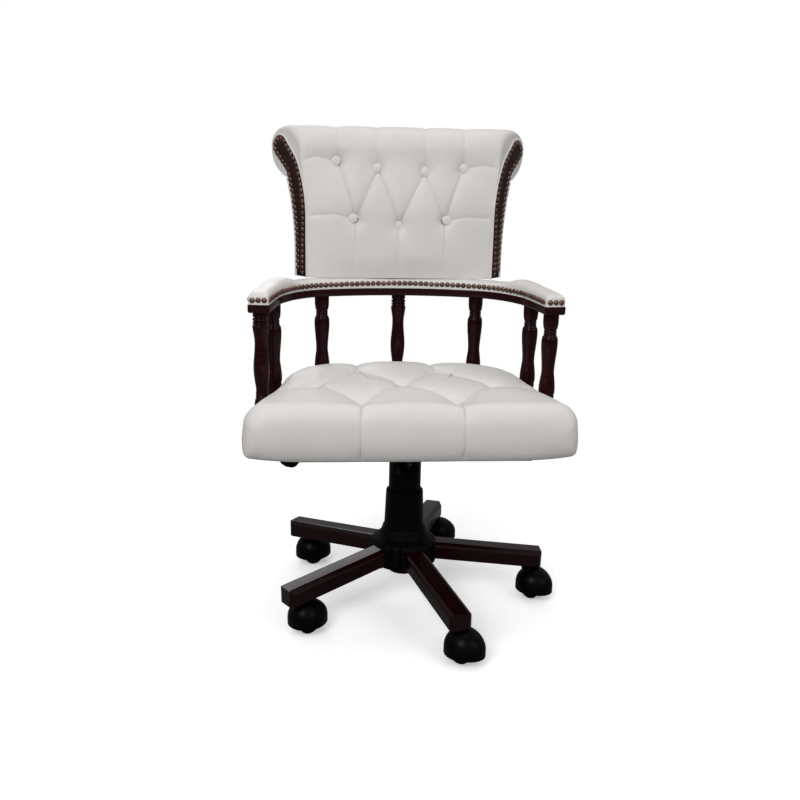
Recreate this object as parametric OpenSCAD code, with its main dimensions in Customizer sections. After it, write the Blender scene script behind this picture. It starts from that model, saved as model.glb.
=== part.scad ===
// Upholstered swivel desk armchair with a scrolled back.
// Origin on the floor under the column, +Z up, the sitter faces -Y.

/* [Casters] */
// Diameter of each caster wheel
wheel_d = 42; // [38:1:46]
// Width of each caster wheel
wheel_w = 14.4; // [11:0.2:16]
// Rounding of the wheel's tread edges
wheel_round = 4.5; // [2:0.5:6]
// Distance from the stem's axis back to the axle
caster_trail = 18; // [14:1:22]
// Diameter of the hood
hood_d = 71; // [69:0.5:78]
// Wall of the hood
hood_wall = 3; // [2:0.25:3.5]
// Distance that the hood reaches back beyond a half ball
hood_nose = 7.5; // [4:0.5:10]
// Height of the hood's centre above the axle
hood_rise = 9.1; // [8.1:0.1:12]
// Drop of the hood's rim below the axle
hood_rim = 3; // [1:0.5:5]
// Diameter of the caster stem
stem_d = 11; // [8:0.5:12]
// Length of the stem inside the leg
stem_in_leg = 26; // [16:1:28]
// Diameter of the axle
axle_d = 6; // [4:0.5:8]
// Thickness of the web between the two wheels
web_t = 5; // [3.5:0.5:6]
// Diameter of the wheels' inner hubs
wheel_hub_d = 14; // [12:0.5:18]

/* [Star base] */
// Radius of the circle through the leg tips
leg_reach = 283; // [250:1:330]
// Distance from a leg tip in to its caster stem
stem_inset = 27; // [22:1:34]
// Width of a leg
leg_w = 44; // [38:1:46]
// Thickness of a leg
leg_t = 34; // [28:1:38]
// Slope of a leg in degrees
leg_slope = 6; // [3:0.5:8]
// Chamfer along the leg's top edges
leg_chamfer = 7; // [3:0.5:9]
// Radius where the legs start inside the hub
leg_root = 38; // [37:0.5:42]
// Outer radius of the hub's sleeves
hub_r = 66; // [60:1:74]
// Wall of the hub round a leg
hub_wall = 5; // [4:0.5:6]
// Height of the hub's neck above its leg sleeves
hub_neck = 26; // [18:1:34]
// Diameter of the leg bolts
leg_bolt_d = 8; // [6:0.5:8]

/* [Column] */
// Outer diameter of the stand tube
tube_d = 50; // [46:1:52]
// Wall of the stand tube
tube_wall = 2; // [1.5:0.25:2.5]
// Height of the stand tube above the hub
tube_above = 71; // [66:1:74]
// Diameter of the gas cylinder
cylinder_d = 28; // [26:0.5:30]
// Diameter of the piston rod
rod_d = 10; // [8:0.5:12]
// Travel of the height adjustment
lift_travel = 90; // [70:1:95]
// Height from the hub's top to the mechanism's underside
column_h = 150; // [145:1:170]
// Height of the lower and middle column covers
cover_h = 75; // [70:1:78]
// Height of the upper column cover
upper_cover_h = 127; // [118:1:130]
// Wall of the column covers
cover_wall = 1.9; // [1.5:0.1:2.2]

/* [Mechanism] */
// Height of the mechanism housing
housing_h = 31; // [29:1:34]
// Width of the mechanism housing
housing_w = 95; // [80:1:110]
// Distance of the tilt pin in front of the column
pin_front = 38; // [36:1:40]
// Diameter of the tilt pin
pin_d = 10; // [8:0.5:11]
// Greatest recline in degrees
tilt_max = 12; // [8:0.5:12]
// Distance of the tension knob in front of the column
knob_front = 75; // [73:1:78]
// Diameter of the tension knob
knob_d = 42; // [34:1:43]
// Height of the tension knob
knob_h = 12.5; // [10:0.5:16]
// Number of coils in the tension spring
spring_coils = 4; // [3:0.5:5]
// Wire diameter of the tension spring
spring_wire = 3; // [2:0.25:3.25]
// Reach of the height lever from the column
lever_reach = 250; // [215:1:275]
// Diameter of the height lever's rod
lever_d = 7; // [5:0.5:8]
// Drop from the lever's rod to its grip
lever_drop = 21; // [16:1:30]

/* [Seat] */
// Thickness of the steel plate under the seat
plate_t = 3; // [2:0.5:4]
// Thickness of the seat board
board_t = 15; // [10:1:18]
// Height of the wooden frame round the cushion
frame_h = 28; // [20:1:34]
// Width of the wooden frame
frame_w = 36; // [32:1:38]
// Half width of the cushion near its front corners
cushion_front_x = 297; // [270:1:310]
// Shift of the cushion's front towards -X
cushion_shift = 4; // [0:0.5:6]
// Distance of the cushion's front in front of the column
cushion_front_y = 202; // [180:1:225]
// Height of the cushion at its crown
cushion_h = 112; // [95:1:130]
// Depth of the sewn tufts in the seat
seat_tuft = 24; // [12:1:30]
// Spacing of the seat tufts across
tuft_dx = 160; // [140:1:180]
// Spacing of the seat tuft rows
tuft_dy = 97; // [85:1:110]

/* [Arms] */
// Radius of the bow across the back
bow_back_r = 534; // [480:1:600]
// Radius of the bow round its corners
bow_corner_r = 154; // [140:1:170]
// Distance of the bow's centre line behind the column
bow_back_y = 251; // [240:1:262]
// Distance of the arm ends in front of the column
arm_front_y = 6; // [-6:1:20]
// Outward turn of the arms at their ends in degrees
arm_flare = 8; // [4:0.5:11]
// Thickness of the arm rail
rail_t = 16; // [14:1:22]
// Height of the pad at the arms
pad_arm_h = 27; // [23:1:32]
// Height of the pad under the back
pad_back_h = 20; // [18:1:22]
// Height of the posts between frame and rail
post_h = 200; // [170:1:230]
// Greatest diameter of a post
post_d = 32; // [28:0.5:34]
// Diameter of the post tenons
tenon_d = 14; // [10:0.5:16]
// Length of a post tenon
tenon_h = 10; // [6:0.5:12]
// Diameter of a nail head
nail_d = 11; // [8:0.5:11]
// Spacing of the nails
nail_pitch = 11.4; // [11.4:0.1:16]

/* [Back] */
// Height of the back above the arm pad
back_h = 310; // [280:1:340]
// Half width of the back at its foot
back_x = 199; // [185:1:210]
// Distance of the back's front edge behind the column
back_y = 236; // [230:1:240]
// Angle of the side facings to the chair's centre line in degrees
facing_angle = 42; // [34:1:46]
// Thickness of the side facings
facing_t = 16; // [10:1:20]
// Width of a facing at its foot
facing_w = 31; // [28:1:36]
// Radius of the facing's scrolled head
head_r = 23; // [19:0.5:25]
// Depth of the leather roll beyond the facing's head
roll_pad = 20; // [14:1:24]
// Crown of the back cushion
back_crown = 12; // [6:1:16]
// Depth of the back's button tufts
back_tuft = 11; // [5:1:13]
// Diameter of the covered buttons
button_d = 21; // [16:0.5:23]
// Thickness of the outside back cover
cover_t = 4; // [2:0.5:5]

/* [Fits] */
// Radial clearance of a pin or shaft that turns or slides
run_fit = 0.05; // [0.02:0.01:0.1]
// Clearance between parts that don't touch
gap = 0.5; // [0.3:0.05:0.8]
// Clearance round a piece that is seated and glued
seat_fit = 0.1; // [0.02:0.02:0.2]

/* [Hidden] */
leg_n = 5;
legs = [0 : leg_n - 1];
post_n = 7;
$fn = 64;
eps = 0.01;

// Colours
wood = "#2d0f12";
leather = "#e6e3df";
plastic = "#101012";
steel = "#8d9094";
bronze = "#82594a";

// Directions of the five legs, and where each caster trails to
leg_first = 215;
leg_step = 360 / leg_n;
caster_turn = [30, -40, -45, 10, 25];
function leg_dir(i) = leg_first + leg_step * i;

// Casters
axle_z = wheel_d / 2;
hood_z = axle_z + hood_rise;
hood_top = hood_z + hood_d / 2;
boss_d = stem_d + 8;
boss_z = wheel_d + gap;
wheel_y = web_t / 2 + gap;
stem_r = leg_reach - stem_inset;

// Legs: the underside's height at any distance from the column
under_z = hood_z + hood_d / 2 / cos(leg_slope) + caster_trail * tan(leg_slope) + gap;
function leg_under(r) = under_z + (stem_r - r) * tan(leg_slope);
leg_rise = leg_t / cos(leg_slope);

// Hub
hub_floor = leg_under(hub_r) - hub_wall - 1;
sleeve_top = leg_under(leg_root) + leg_rise + hub_wall;
hub_top = sleeve_top + hub_neck;
hub_foot = hub_floor - 22;
neck_r = tube_d / 2 + 17;
leg_bolt_r = [leg_root + 7, leg_root + 21.5];
bolt_head_h = 5;
lobe_r = 13;

// Column, from the hub up
tube_top = hub_top + tube_above;
tube_ir = tube_d / 2 - tube_wall;
tube_floor_t = 4;
bearing_t = 4;
shoulder_t = 4;
bearing_z = hub_foot + tube_floor_t;
shoulder_z = bearing_z + bearing_t;
housing_z = hub_top + column_h;
cylinder_z = shoulder_z + shoulder_t + 22;
cylinder_top = housing_z + 9;
gland_t = 6;
cylinder_wall = 3;
bush_h = 86;
bush_z = tube_top - bush_h;
piston_h = 10;
rod_spare = 75;
rod_top = cylinder_z + gland_t + lift_travel + piston_h + rod_spare;
cylinder_roof = 22;

// Column covers, from the outside in
lower_r = 36.5;
lower_foot_r = 40;
middle_r = lower_r - cover_wall - gap;
upper_r = middle_r - cover_wall - gap;
cover_z = hub_top;
middle_z = hub_top + 2;
upper_top = housing_z - 3;
upper_z = upper_top - upper_cover_h;

// Mechanism
plate_z = housing_z + housing_h + 2;
pin_z = plate_z - 10;
housing_wall = 2.5;
housing_rear = 62;
housing_front = knob_front + 25;
web_z = plate_z - 8;
web_plate_t = 3;
step_y = -(pin_front + pin_d / 2 + 5.5);
floor_t = 3;
ear_t = 3;
ear_x = housing_w / 2 + gap + 0.7;
ear_drop = 8;
lever_z = cylinder_top + 5.5 + gap + 1.5;
lever_pivot_x = -housing_w / 2 - 4.5;
lever_pin_d = 4;
button_stem_d = 6;
button_up = 5.5;
knob_top = housing_z - 4;
knob_z = knob_top - knob_h;
washer_t = 2.5;
washer_z = knob_top + 0.3;
spring_z = washer_z + washer_t;
spring_r = 10;
tension_bolt_d = 8;
knob_travel = 4.5;
knob_floor = 1.5;
tension_bolt_z = knob_z + knob_floor + gap + knob_travel;

// Height at which the tilted seat plate passes over a point y of the housing
function plate_low(y) = pin_z + (plate_z - pin_z) / cos(tilt_max)
    - max(0, y + pin_front) * tan(tilt_max);

// Seat stack
board_z = plate_z + plate_t;
frame_z = board_z + board_t;
post_z = frame_z + frame_h;
rail_z = post_z + post_h;
pad_z = rail_z + rail_t;
back_z = pad_z + pad_back_h + 1;
back_top = back_z + back_h;

// The bow: an arc across the back, two corner arcs and two straight arms.
// It is measured along its centre line from the middle of the back, and a
// negative length runs to the chair's other side.
back_arc = 17;
arm_turn = 90 - arm_flare;
bow_back_l = bow_back_r * back_arc * PI / 180;
bow_corner_l = bow_corner_r * (arm_turn - back_arc) * PI / 180;
bow_c = [(bow_back_r - bow_corner_r) * sin(back_arc),
         bow_back_y - bow_back_r + (bow_back_r - bow_corner_r) * cos(back_arc)];
bow_arm_start = bow_c + bow_corner_r * [sin(arm_turn), cos(arm_turn)];
bow_l = bow_back_l + bow_corner_l + (bow_arm_start[1] + arm_front_y) / sin(arm_turn);
function bow_angle(q) =
    q < bow_back_l ? q / bow_back_r * 180 / PI
    : q < bow_back_l + bow_corner_l ? back_arc + (q - bow_back_l) / bow_corner_r * 180 / PI
    : arm_turn;
function bow_right(q) = let (a = bow_angle(q))
    q < bow_back_l ? [bow_back_r * sin(a), bow_back_y - bow_back_r + bow_back_r * cos(a)]
    : q < bow_back_l + bow_corner_l ? bow_c + bow_corner_r * [sin(a), cos(a)]
    : bow_arm_start + (q - bow_back_l - bow_corner_l) * [cos(a), -sin(a)];
function bow(s, out = 0) = let (
    a = bow_angle(abs(s)),
    p = bow_right(abs(s)) + out * [sin(a), cos(a)])
    [s < 0 ? -p[0] : p[0], p[1]];
function bow_turn(s) = s < 0 ? bow_angle(-s) : -bow_angle(s);

// A step from 0 to 1 that starts and ends level
function soft(t) = let (u = min(max(t, 0), 1)) u * u * (3 - 2 * u);
function mix(a, b, t) = a + (b - a) * soft(t);

// Reach of the rail inside and outside the bow's centre line
function rail_in(s) = mix(24, 18, (abs(s) - 280) / 80);
function rail_out(s) = mix(30, 24, (abs(s) - 100) / 150);
rail_chamfer = 3;
pad_inset = 1.5;
nail_h = 3.2;
nail_z = pad_z + 8.5;
nail_seat = 0.45;
nail_band = 15;

// Posts stand at these lengths along the bow
post_at = [-420, -322, -168, 0, 168, 322, 420];
post_out = [4, 0, 0, 0, 0, 0, 4];
function post_xy(i) = bow(post_at[i], post_out[i]);
post_flipped = [1, 0, 0, 1, 0, 0, 0];

// Back: the core's outline, seen from the side as [y, z]. The facings lie in
// upright planes, so distances along a facing shrink by squash in y.
squash = cos(facing_angle);
flare = tan(facing_angle);
bend_z = back_z + 124;
bend_r = 253;
head_z = back_top - roll_pad - head_r - 1;
head_s = 80;
roll_s = 64;
roll_rz = 50;
roll_z = back_top - roll_rz;
roll_rs = 51;
tuck_z = back_z + 202;
function back_half(y) = back_x + (y - back_y) * flare;
function core_front(z) = back_y
    + (z < bend_z ? 0 : squash * (bend_r - sqrt(pow(bend_r, 2) - pow(z - bend_z, 2))));
function core_rear(z) = back_y + squash * (facing_w + 19 * pow(max(z - back_z - 49, 0) / 138, 2));
function head_point(a) = [back_y + squash * (head_s + head_r * cos(a)), head_z + head_r * sin(a)];
core_tuck = [back_y + squash * 55, tuck_z];
core_front_z = [0, 25, 50, 75, 100, 124, 143, 162, 181, 200, 220, 240];
core_rear_z = [0, 60, 100, 140, 170];
core_up = concat(
    [for (h = core_front_z) [core_front(back_z + h), back_z + h]],
    [for (a = [150 : -20 : -50]) head_point(a)],
    [[back_y + squash * 74, back_z + 229]],
    [[back_y + squash * 62, back_z + 217]],
    [core_tuck]);
core_back = concat([for (h = core_rear_z) [core_rear(back_z + h), back_z + h]], [core_tuck]);
core_outline = concat(core_up, [for (i = [len(core_rear_z) - 1 : -1 : 0]) core_back[i]]);

// Buttons on the back, as [x, height over the foot of the back]
button_top = [[-135, 239], [-50, 227], [51, 221], [133, 228]];
button_low = [[-100, 123], [-4, 112], [98, 121]];
buttons = concat(button_top, button_low);

// Distance from a point to the stretch between two others
function to_stretch(p, a, b) = let (
    d = b - a,
    t = min(max(((p - a) * d) / (d * d), 0), 1))
    norm(p - a - t * d);
function dimple(d, depth, width) = depth * exp(-pow(d / width, 2));

// Ring of faces between two equal loops in a stack of loops, and a face on each end
function loft_sides(rows, n) = concat(
    [for (i = [0 : rows - 2]) for (j = [0 : n - 1]) let (k = (j + 1) % n)
        [i * n + j, (i + 1) * n + j, (i + 1) * n + k]],
    [for (i = [0 : rows - 2]) for (j = [0 : n - 1]) let (k = (j + 1) % n)
        [i * n + j, (i + 1) * n + k, i * n + k]]);
module loft(loops) {
    n = len(loops[0]);
    last = (len(loops) - 1) * n;
    polyhedron(
        points = [for (loop = loops) each loop],
        faces = concat(
            [[for (j = [0 : n - 1]) j]],
            loft_sides(len(loops), n),
            [[for (j = [n - 1 : -1 : 0]) last + j]]),
        convexity = 8);
}
// The same for loops that run out along one line and back beside it: strips close the ends
module loft_pairs(loops) {
    n = len(loops[0]);
    last = (len(loops) - 1) * n;
    polyhedron(
        points = [for (loop = loops) each loop],
        faces = concat(
            loft_sides(len(loops), n),
            [for (j = [0 : n / 2 - 2]) let (k = n - 1 - j) each [
                [j, j + 1, k], [j + 1, k - 1, k],
                [last + j, last + k, last + j + 1], [last + j + 1, last + k, last + k - 1]]]),
        convexity = 8);
}

// Plan of a horseshoe along the bow, between two distances from its centre line
function bow_plan(inside, outside, n = 72) = concat(
    [for (i = [0 : n]) bow(bow_l * (2 * i / n - 1), outside)],
    [for (i = [n : -1 : 0]) bow(bow_l * (2 * i / n - 1), -inside)]);

// Sections carried along the bow, one at each station, as [out, z] round from the outside in
module bow_sweep(sections, stations) {
    loft([for (i = [0 : len(stations) - 1])
        [for (p = sections[i]) let (q = bow(stations[i], p[0])) [q[0], q[1], p[1]]]]);
}
stations = [for (i = [0 : 64]) bow_l * (2 * i / 64 - 1)];

module bolt(d, length, head_d, head_h) {
    translate([0, 0, -head_h]) cylinder(h = head_h + eps, d = head_d, $fn = 6);
    cylinder(h = length, d = d);
}

module ring(r_out, r_in, h) {
    difference() {
        cylinder(h = h, r = r_out);
        translate([0, 0, -1]) cylinder(h = h + 2, r = r_in);
    }
}

// Casters

module at_caster(i) {
    rotate([0, 0, leg_dir(i)])
        translate([stem_r, 0, 0])
            rotate([0, 0, caster_turn[i] - leg_dir(i)])
                children();
}

// Half a ball on a straight skirt that reaches down to a height, and a smaller
// one behind it that makes the hood's nose
module half_ball(x, r, low) {
    translate([x, 0, 0])
        rotate_extrude()
            polygon(concat([[0, low], [r, low]],
                [for (a = [0 : 6 : 90]) [r * cos(a), hood_z + r * sin(a)]]));
}
module dome(inset, low) {
    nose_less = 4;
    half_ball(caster_trail, hood_d / 2 - inset, low);
    half_ball(caster_trail + hood_nose + nose_less, hood_d / 2 - nose_less - inset, low);
}

module caster_hood(i) {
    rim_z = axle_z - hood_rim;
    axle_l = 2 * (wheel_y + wheel_w - 2);
    color(plastic)
    at_caster(i)
    difference() {
        union() {
            difference() {
                dome(0, rim_z);
                dome(hood_wall, rim_z - 1);
            }
            intersection() {
                translate([caster_trail, 0, hood_z]) sphere(r = hood_d / 2 - hood_wall / 2);
                translate([caster_trail - hood_d / 2, -web_t / 2, axle_z])
                    cube([hood_d, web_t, hood_d]);
            }
            translate([caster_trail, web_t / 2, axle_z])
                rotate([90, 0, 0]) cylinder(h = web_t, d = wheel_hub_d + 4);
            translate([caster_trail, axle_l / 2, axle_z])
                rotate([90, 0, 0]) cylinder(h = axle_l, d = axle_d);
            translate([0, 0, boss_z]) cylinder(h = hood_top - boss_z, d = boss_d);
        }
        translate([0, 0, boss_z - 1])
            cylinder(h = hood_top - boss_z + 2, r = stem_d / 2 + run_fit);
    }
}

// One wheel, lying on its outer face, from the web outwards
module wheel() {
    color(plastic)
    rotate_extrude()
        polygon(concat(
            [[axle_d / 2 + run_fit, 0]],
            [[wheel_d / 2 - 1.5, 0]],
            [[wheel_d / 2, 1.5]],
            [for (a = [0 : 15 : 90]) [wheel_d / 2 - wheel_round + wheel_round * cos(a),
                                      wheel_w - wheel_round + wheel_round * sin(a)]],
            [[wheel_d / 2 - wheel_round - 2, wheel_w - 2]],
            [[wheel_hub_d / 2, wheel_w - 3]],
            [[axle_d / 2 + run_fit, wheel_w - 3]]));
}
module wheel_at(i, side) {
    at_caster(i)
        translate([caster_trail, side * wheel_y, axle_z])
            rotate([-90 * side, 0, 0])
                wheel();
}

module caster_stems() {
    color(steel)
    for (i = legs)
        rotate([0, 0, leg_dir(i)])
            translate([stem_r, 0, boss_z + gap])
                cylinder(h = under_z - boss_z - gap + stem_in_leg, d = stem_d);
}

// Star base

module leg_bar(from, to, grow = 0) {
    w = leg_w / 2 + grow;
    c = leg_chamfer;
    translate([0, 0, leg_under(0)])
        rotate([0, leg_slope, 0])
            translate([from, 0, 0])
                rotate([90, 0, 90])
                    linear_extrude(to - from)
                        polygon([[-w, -grow], [w, -grow], [w, leg_t - c], [w - c, leg_t + grow],
                                 [c - w, leg_t + grow], [-w, leg_t - c]]);
}

// Spare length and depth of the bar and block that a leg is cut from
bar_spare = 20;
block_spare = 70;
module base_leg(i) {
    corner = 7;
    color(wood)
    rotate([0, 0, leg_dir(i)])
    difference() {
        intersection() {
            leg_bar(leg_root - bar_spare, leg_reach + bar_spare);
            translate([0, 0, under_z - block_spare])
                linear_extrude(leg_t + 2 * block_spare)
                    polygon([[leg_root, -leg_w], [leg_reach - corner - leg_w / 2, -leg_w],
                             [leg_reach, corner - leg_w / 2], [leg_reach, leg_w / 2 - corner],
                             [leg_reach - corner - leg_w / 2, leg_w], [leg_root, leg_w]]);
        }
        translate([stem_r, 0, under_z - 20])
            cylinder(h = stem_in_leg + 20 + gap, d = stem_d + 2 * seat_fit);
        for (r = leg_bolt_r)
            translate([r, 0, hub_floor])
                cylinder(h = leg_t, d = leg_bolt_d + 2 * seat_fit);
    }
}

module leg_bolts() {
    color(steel)
    for (i = legs)
        rotate([0, 0, leg_dir(i)])
            for (r = leg_bolt_r)
                translate([r, 0, hub_floor])
                    bolt(leg_bolt_d, leg_t - 4, leg_bolt_d + 4, bolt_head_h);
}

module base_hub() {
    foot_r = tube_d / 2 + 5;
    color(plastic)
    difference() {
        union() {
            intersection() {
                translate([0, 0, hub_floor])
                    linear_extrude(hub_top - hub_floor)
                        union() {
                            circle(r = hub_r - 16);
                            for (i = legs) {
                                rotate(leg_dir(i))
                                    translate([0, -leg_w / 2 - hub_wall])
                                        square([hub_r, leg_w + 2 * hub_wall]);
                                rotate(leg_dir(i) + leg_step / 2)
                                    translate([hub_r - lobe_r - 1, 0])
                                        circle(r = lobe_r);
                            }
                        }
                rotate_extrude()
                    polygon([[0, hub_floor], [hub_r - 2, hub_floor], [hub_r, hub_floor + 2],
                             [hub_r, sleeve_top - 7], [hub_r - 5, sleeve_top - 1],
                             [neck_r + 6, sleeve_top + 8], [neck_r, hub_top], [0, hub_top]]);
            }
            translate([0, 0, hub_foot]) cylinder(h = 30, r = foot_r);
        }
        for (i = legs)
            rotate([0, 0, leg_dir(i)]) {
                intersection() {
                    leg_bar(leg_root - 20, hub_r + 20, seat_fit);
                    translate([leg_root - seat_fit, -leg_w, hub_foot])
                        cube([hub_r, 2 * leg_w, hub_top]);
                }
                for (r = leg_bolt_r)
                    translate([r, 0, hub_floor - 1])
                        cylinder(h = 30, d = leg_bolt_d + 2 * seat_fit);
            }
        translate([0, 0, hub_foot - 1])
            cylinder(h = hub_top - hub_foot + 2, r = tube_d / 2 + seat_fit);
    }
}

// Column

module stand_tube() {
    color(plastic)
    difference() {
        translate([0, 0, hub_foot]) cylinder(h = tube_top - hub_foot, d = tube_d);
        translate([0, 0, bearing_z]) cylinder(h = tube_top, r = tube_ir);
        translate([0, 0, hub_foot - 1]) cylinder(h = tube_floor_t + 2, r = rod_d / 2 + run_fit);
    }
}

module guide_bush() {
    color("#303236")
    difference() {
        union() {
            translate([0, 0, bush_z]) cylinder(h = bush_h + eps, r = tube_ir - seat_fit);
            translate([0, 0, tube_top]) cylinder(h = 3, r = tube_d / 2);
        }
        translate([0, 0, bush_z - 1]) cylinder(h = bush_h + 6, r = cylinder_d / 2 + run_fit);
    }
}

module piston_rod() {
    color(steel)
    union() {
        translate([0, 0, hub_foot - 5]) cylinder(h = rod_top - hub_foot + 5, d = rod_d);
        translate([0, 0, shoulder_z + run_fit]) cylinder(h = shoulder_t, r = rod_d / 2 + 4);
        translate([0, 0, rod_top - piston_h])
            cylinder(h = piston_h, r = cylinder_d / 2 - cylinder_wall - run_fit);
    }
}

module thrust_bearing() {
    color(steel)
    translate([0, 0, bearing_z + run_fit])
        ring(rod_d / 2 + 7, rod_d / 2 + run_fit, bearing_t - run_fit);
}

module retaining_clip() {
    color(steel)
    translate([0, 0, hub_foot - 2.5])
        ring(rod_d / 2 + 4, rod_d / 2 + run_fit, 2);
}

module gas_cylinder() {
    bore_r = cylinder_d / 2 - cylinder_wall;
    color(plastic)
    difference() {
        translate([0, 0, cylinder_z]) cylinder(h = cylinder_top - cylinder_z, d = cylinder_d);
        translate([0, 0, cylinder_z + gland_t])
            cylinder(h = cylinder_top - cylinder_roof - cylinder_z - gland_t, r = bore_r);
        translate([0, 0, cylinder_z - 1]) cylinder(h = gland_t + 2, r = rod_d / 2 + run_fit);
        translate([0, 0, cylinder_top - cylinder_roof + 4])
            cylinder(h = cylinder_roof, r = button_stem_d / 2 + run_fit);
    }
}

module valve_button() {
    color("#b02a1e")
    translate([0, 0, cylinder_top - cylinder_roof + 9])
        cylinder(h = cylinder_roof - 9 + button_up, d = button_stem_d);
}

module lower_column_cover() {
    color(plastic)
    rotate_extrude()
        polygon([[lower_foot_r - cover_wall, cover_z], [lower_foot_r, cover_z],
                 [lower_foot_r - 0.6, cover_z + 8], [lower_r + 0.5, cover_z + cover_h - 3],
                 [lower_r, cover_z + cover_h], [lower_r - cover_wall, cover_z + cover_h],
                 [lower_r - cover_wall, cover_z + 6]]);
}

module middle_column_cover() {
    color(plastic)
    translate([0, 0, middle_z]) ring(middle_r, middle_r - cover_wall, cover_h + 1);
}

module upper_column_cover() {
    c = 6;
    color(plastic)
    rotate_extrude()
        polygon([[upper_r - cover_wall, upper_z], [upper_r, upper_z],
                 [upper_r, upper_top - c], [upper_r - c, upper_top],
                 [cylinder_d / 2 + seat_fit, upper_top], [cylinder_d / 2 + seat_fit, upper_top - 3],
                 [upper_r - c - 1, upper_top - 3], [upper_r - cover_wall, upper_top - c]]);
}

// Mechanism

module housing_side(x) {
    clear = 1.5;
    translate([x, 0, 0])
        rotate([90, 0, 90])
            linear_extrude(housing_wall)
                polygon([[-housing_front, web_z - 6], [step_y, housing_z],
                         [housing_rear, housing_z], [housing_rear, plate_low(housing_rear) - clear],
                         [-pin_front, plate_low(-pin_front) - clear - 0.7],
                         [-housing_front, plate_z - 2]]);
}

module mechanism_housing() {
    inner = housing_w / 2 - housing_wall;
    lever_ear = 3;
    color(plastic)
    difference() {
        union() {
            housing_side(inner);
            housing_side(-housing_w / 2);
            translate([-inner - eps, step_y, housing_z])
                cube([2 * inner + 2 * eps, housing_rear - step_y, floor_t]);
            translate([-inner - eps, housing_rear - housing_wall, housing_z])
                cube([2 * inner + 2 * eps, housing_wall,
                      plate_low(housing_rear) - 1.5 - housing_z]);
            translate([-inner - eps, step_y, housing_z])
                cube([2 * inner + 2 * eps, housing_wall, web_z + web_plate_t - housing_z]);
            translate([-inner - eps, -housing_front, web_z])
                cube([2 * inner + 2 * eps, housing_front + step_y + eps, web_plate_t]);
            translate([0, 0, housing_z - eps])
                cylinder(h = cylinder_top - housing_z - 1, r = cylinder_d / 2 + 5);
            for (side = [-1, 1])
                translate([lever_pivot_x - 4, side * (lever_d / 2 + gap + lever_ear / 2) - lever_ear / 2,
                           lever_z - 4])
                    cube([-housing_w / 2 - lever_pivot_x + 4 + eps, lever_ear, 7]);
        }
        translate([0, 0, housing_z - 1])
            cylinder(h = cylinder_top, r = cylinder_d / 2 + seat_fit);
        translate([-housing_w, -pin_front, pin_z])
            rotate([0, 90, 0]) cylinder(h = 2 * housing_w, r = pin_d / 2 + seat_fit / 2);
        translate([0, 2 - knob_front, web_z - 1])
            cylinder(h = web_plate_t + 2, r = tension_bolt_d / 2 + 4.5);
        translate([-housing_w / 2 - 1, -lever_d / 2 - gap, lever_z - lever_d / 2 - 1.5])
            cube([housing_wall + 2, lever_d + 2 * gap, 30]);
        translate([lever_pivot_x, 20, lever_z])
            rotate([90, 0, 0]) cylinder(h = 40, r = lever_pin_d / 2 + run_fit);
    }
}

module pivot_pin() {
    color(steel)
    translate([-ear_x - ear_t - 1.5, -pin_front, pin_z])
        rotate([0, 90, 0]) cylinder(h = 2 * (ear_x + ear_t + 1.5), d = pin_d);
}

module tension_spring() {
    sides = 6;
    steps = 8 * spring_coils;
    low = spring_z + spring_wire / 2 + 0.2;
    high = web_z - spring_wire / 2 - 0.2;
    color(steel)
    loft([for (i = [0 : steps]) let (
            turn = -i / 8 * 360,
            z = low + (high - low) * i / steps)
        [for (k = [0 : sides - 1]) let (
                a = k * 360 / sides,
                r = spring_r + spring_wire / 2 * cos(a))
            [r * sin(turn), r * cos(turn) - knob_front, z + spring_wire / 2 * sin(a)]]]);
}

// Paddle of the height lever from its inner end outwards, seen from the side and from above
paddle_side = [[0, 4], [0, -10], [-5, -15], [-13, -18], [-25, -16], [-34, -10], [-40, -2],
    [-41, 3], [-38, 7], [-30, 9], [-10, 7]];
paddle_plan = [[0, -9], [0, 9], [-3, 13], [-9, 16], [-33, 16], [-38, 13], [-41, 7],
    [-41, -7], [-38, -13], [-33, -16], [-9, -16], [-3, -13]];
module height_lever() {
    knee_x = lever_pivot_x - 45;
    grip_in = -(lever_reach - 41);
    fall = atan2(lever_drop, knee_x - grip_in);
    color(plastic)
    union() {
        translate([-button_stem_d - 4, -button_stem_d / 2, lever_z - 1.5])
            cube([2 * button_stem_d + 4, button_stem_d, 3]);
        translate([knee_x, 0, lever_z])
            rotate([0, 90, 0]) cylinder(h = -knee_x - button_stem_d + 1, d = lever_d);
        translate([knee_x, 0, lever_z]) sphere(d = lever_d + 1);
        translate([knee_x, 0, lever_z])
            rotate([0, -90 - fall, 0]) cylinder(h = (knee_x - grip_in) / cos(fall) + 12, d = lever_d);
        translate([lever_pivot_x, lever_d / 2 + gap + 4, lever_z])
            rotate([90, 0, 0]) cylinder(h = lever_d + 2 * gap + 8, d = lever_pin_d);
        intersection() {
            translate([grip_in, 16, lever_z - lever_drop])
                rotate([90, 0, 0])
                    linear_extrude(32) polygon(paddle_side);
            translate([grip_in, 0, lever_z - lever_drop - 30])
                linear_extrude(60) polygon(paddle_plan);
        }
    }
}

module spring_washer() {
    color(steel)
    translate([0, -knob_front, washer_z]) ring(14, tension_bolt_d / 2 + run_fit, washer_t);
}

module tension_knob() {
    flutes = 10;
    color(plastic)
    translate([0, -knob_front, knob_z])
    difference() {
        rotate_extrude()
            polygon([[0, 0], [knob_d / 2 - 3, 0], [knob_d / 2, 3], [knob_d / 2, knob_h - 2],
                     [knob_d / 2 - 2, knob_h], [0, knob_h]]);
        for (i = [0 : flutes - 1])
            rotate([0, 0, i * 360 / flutes])
                translate([knob_d / 2 + 2, 0, -1])
                    cylinder(h = knob_h + 2, r = 4);
        translate([0, 0, knob_floor]) cylinder(h = knob_h, r = tension_bolt_d / 2 + run_fit);
    }
}

// Seat

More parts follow.
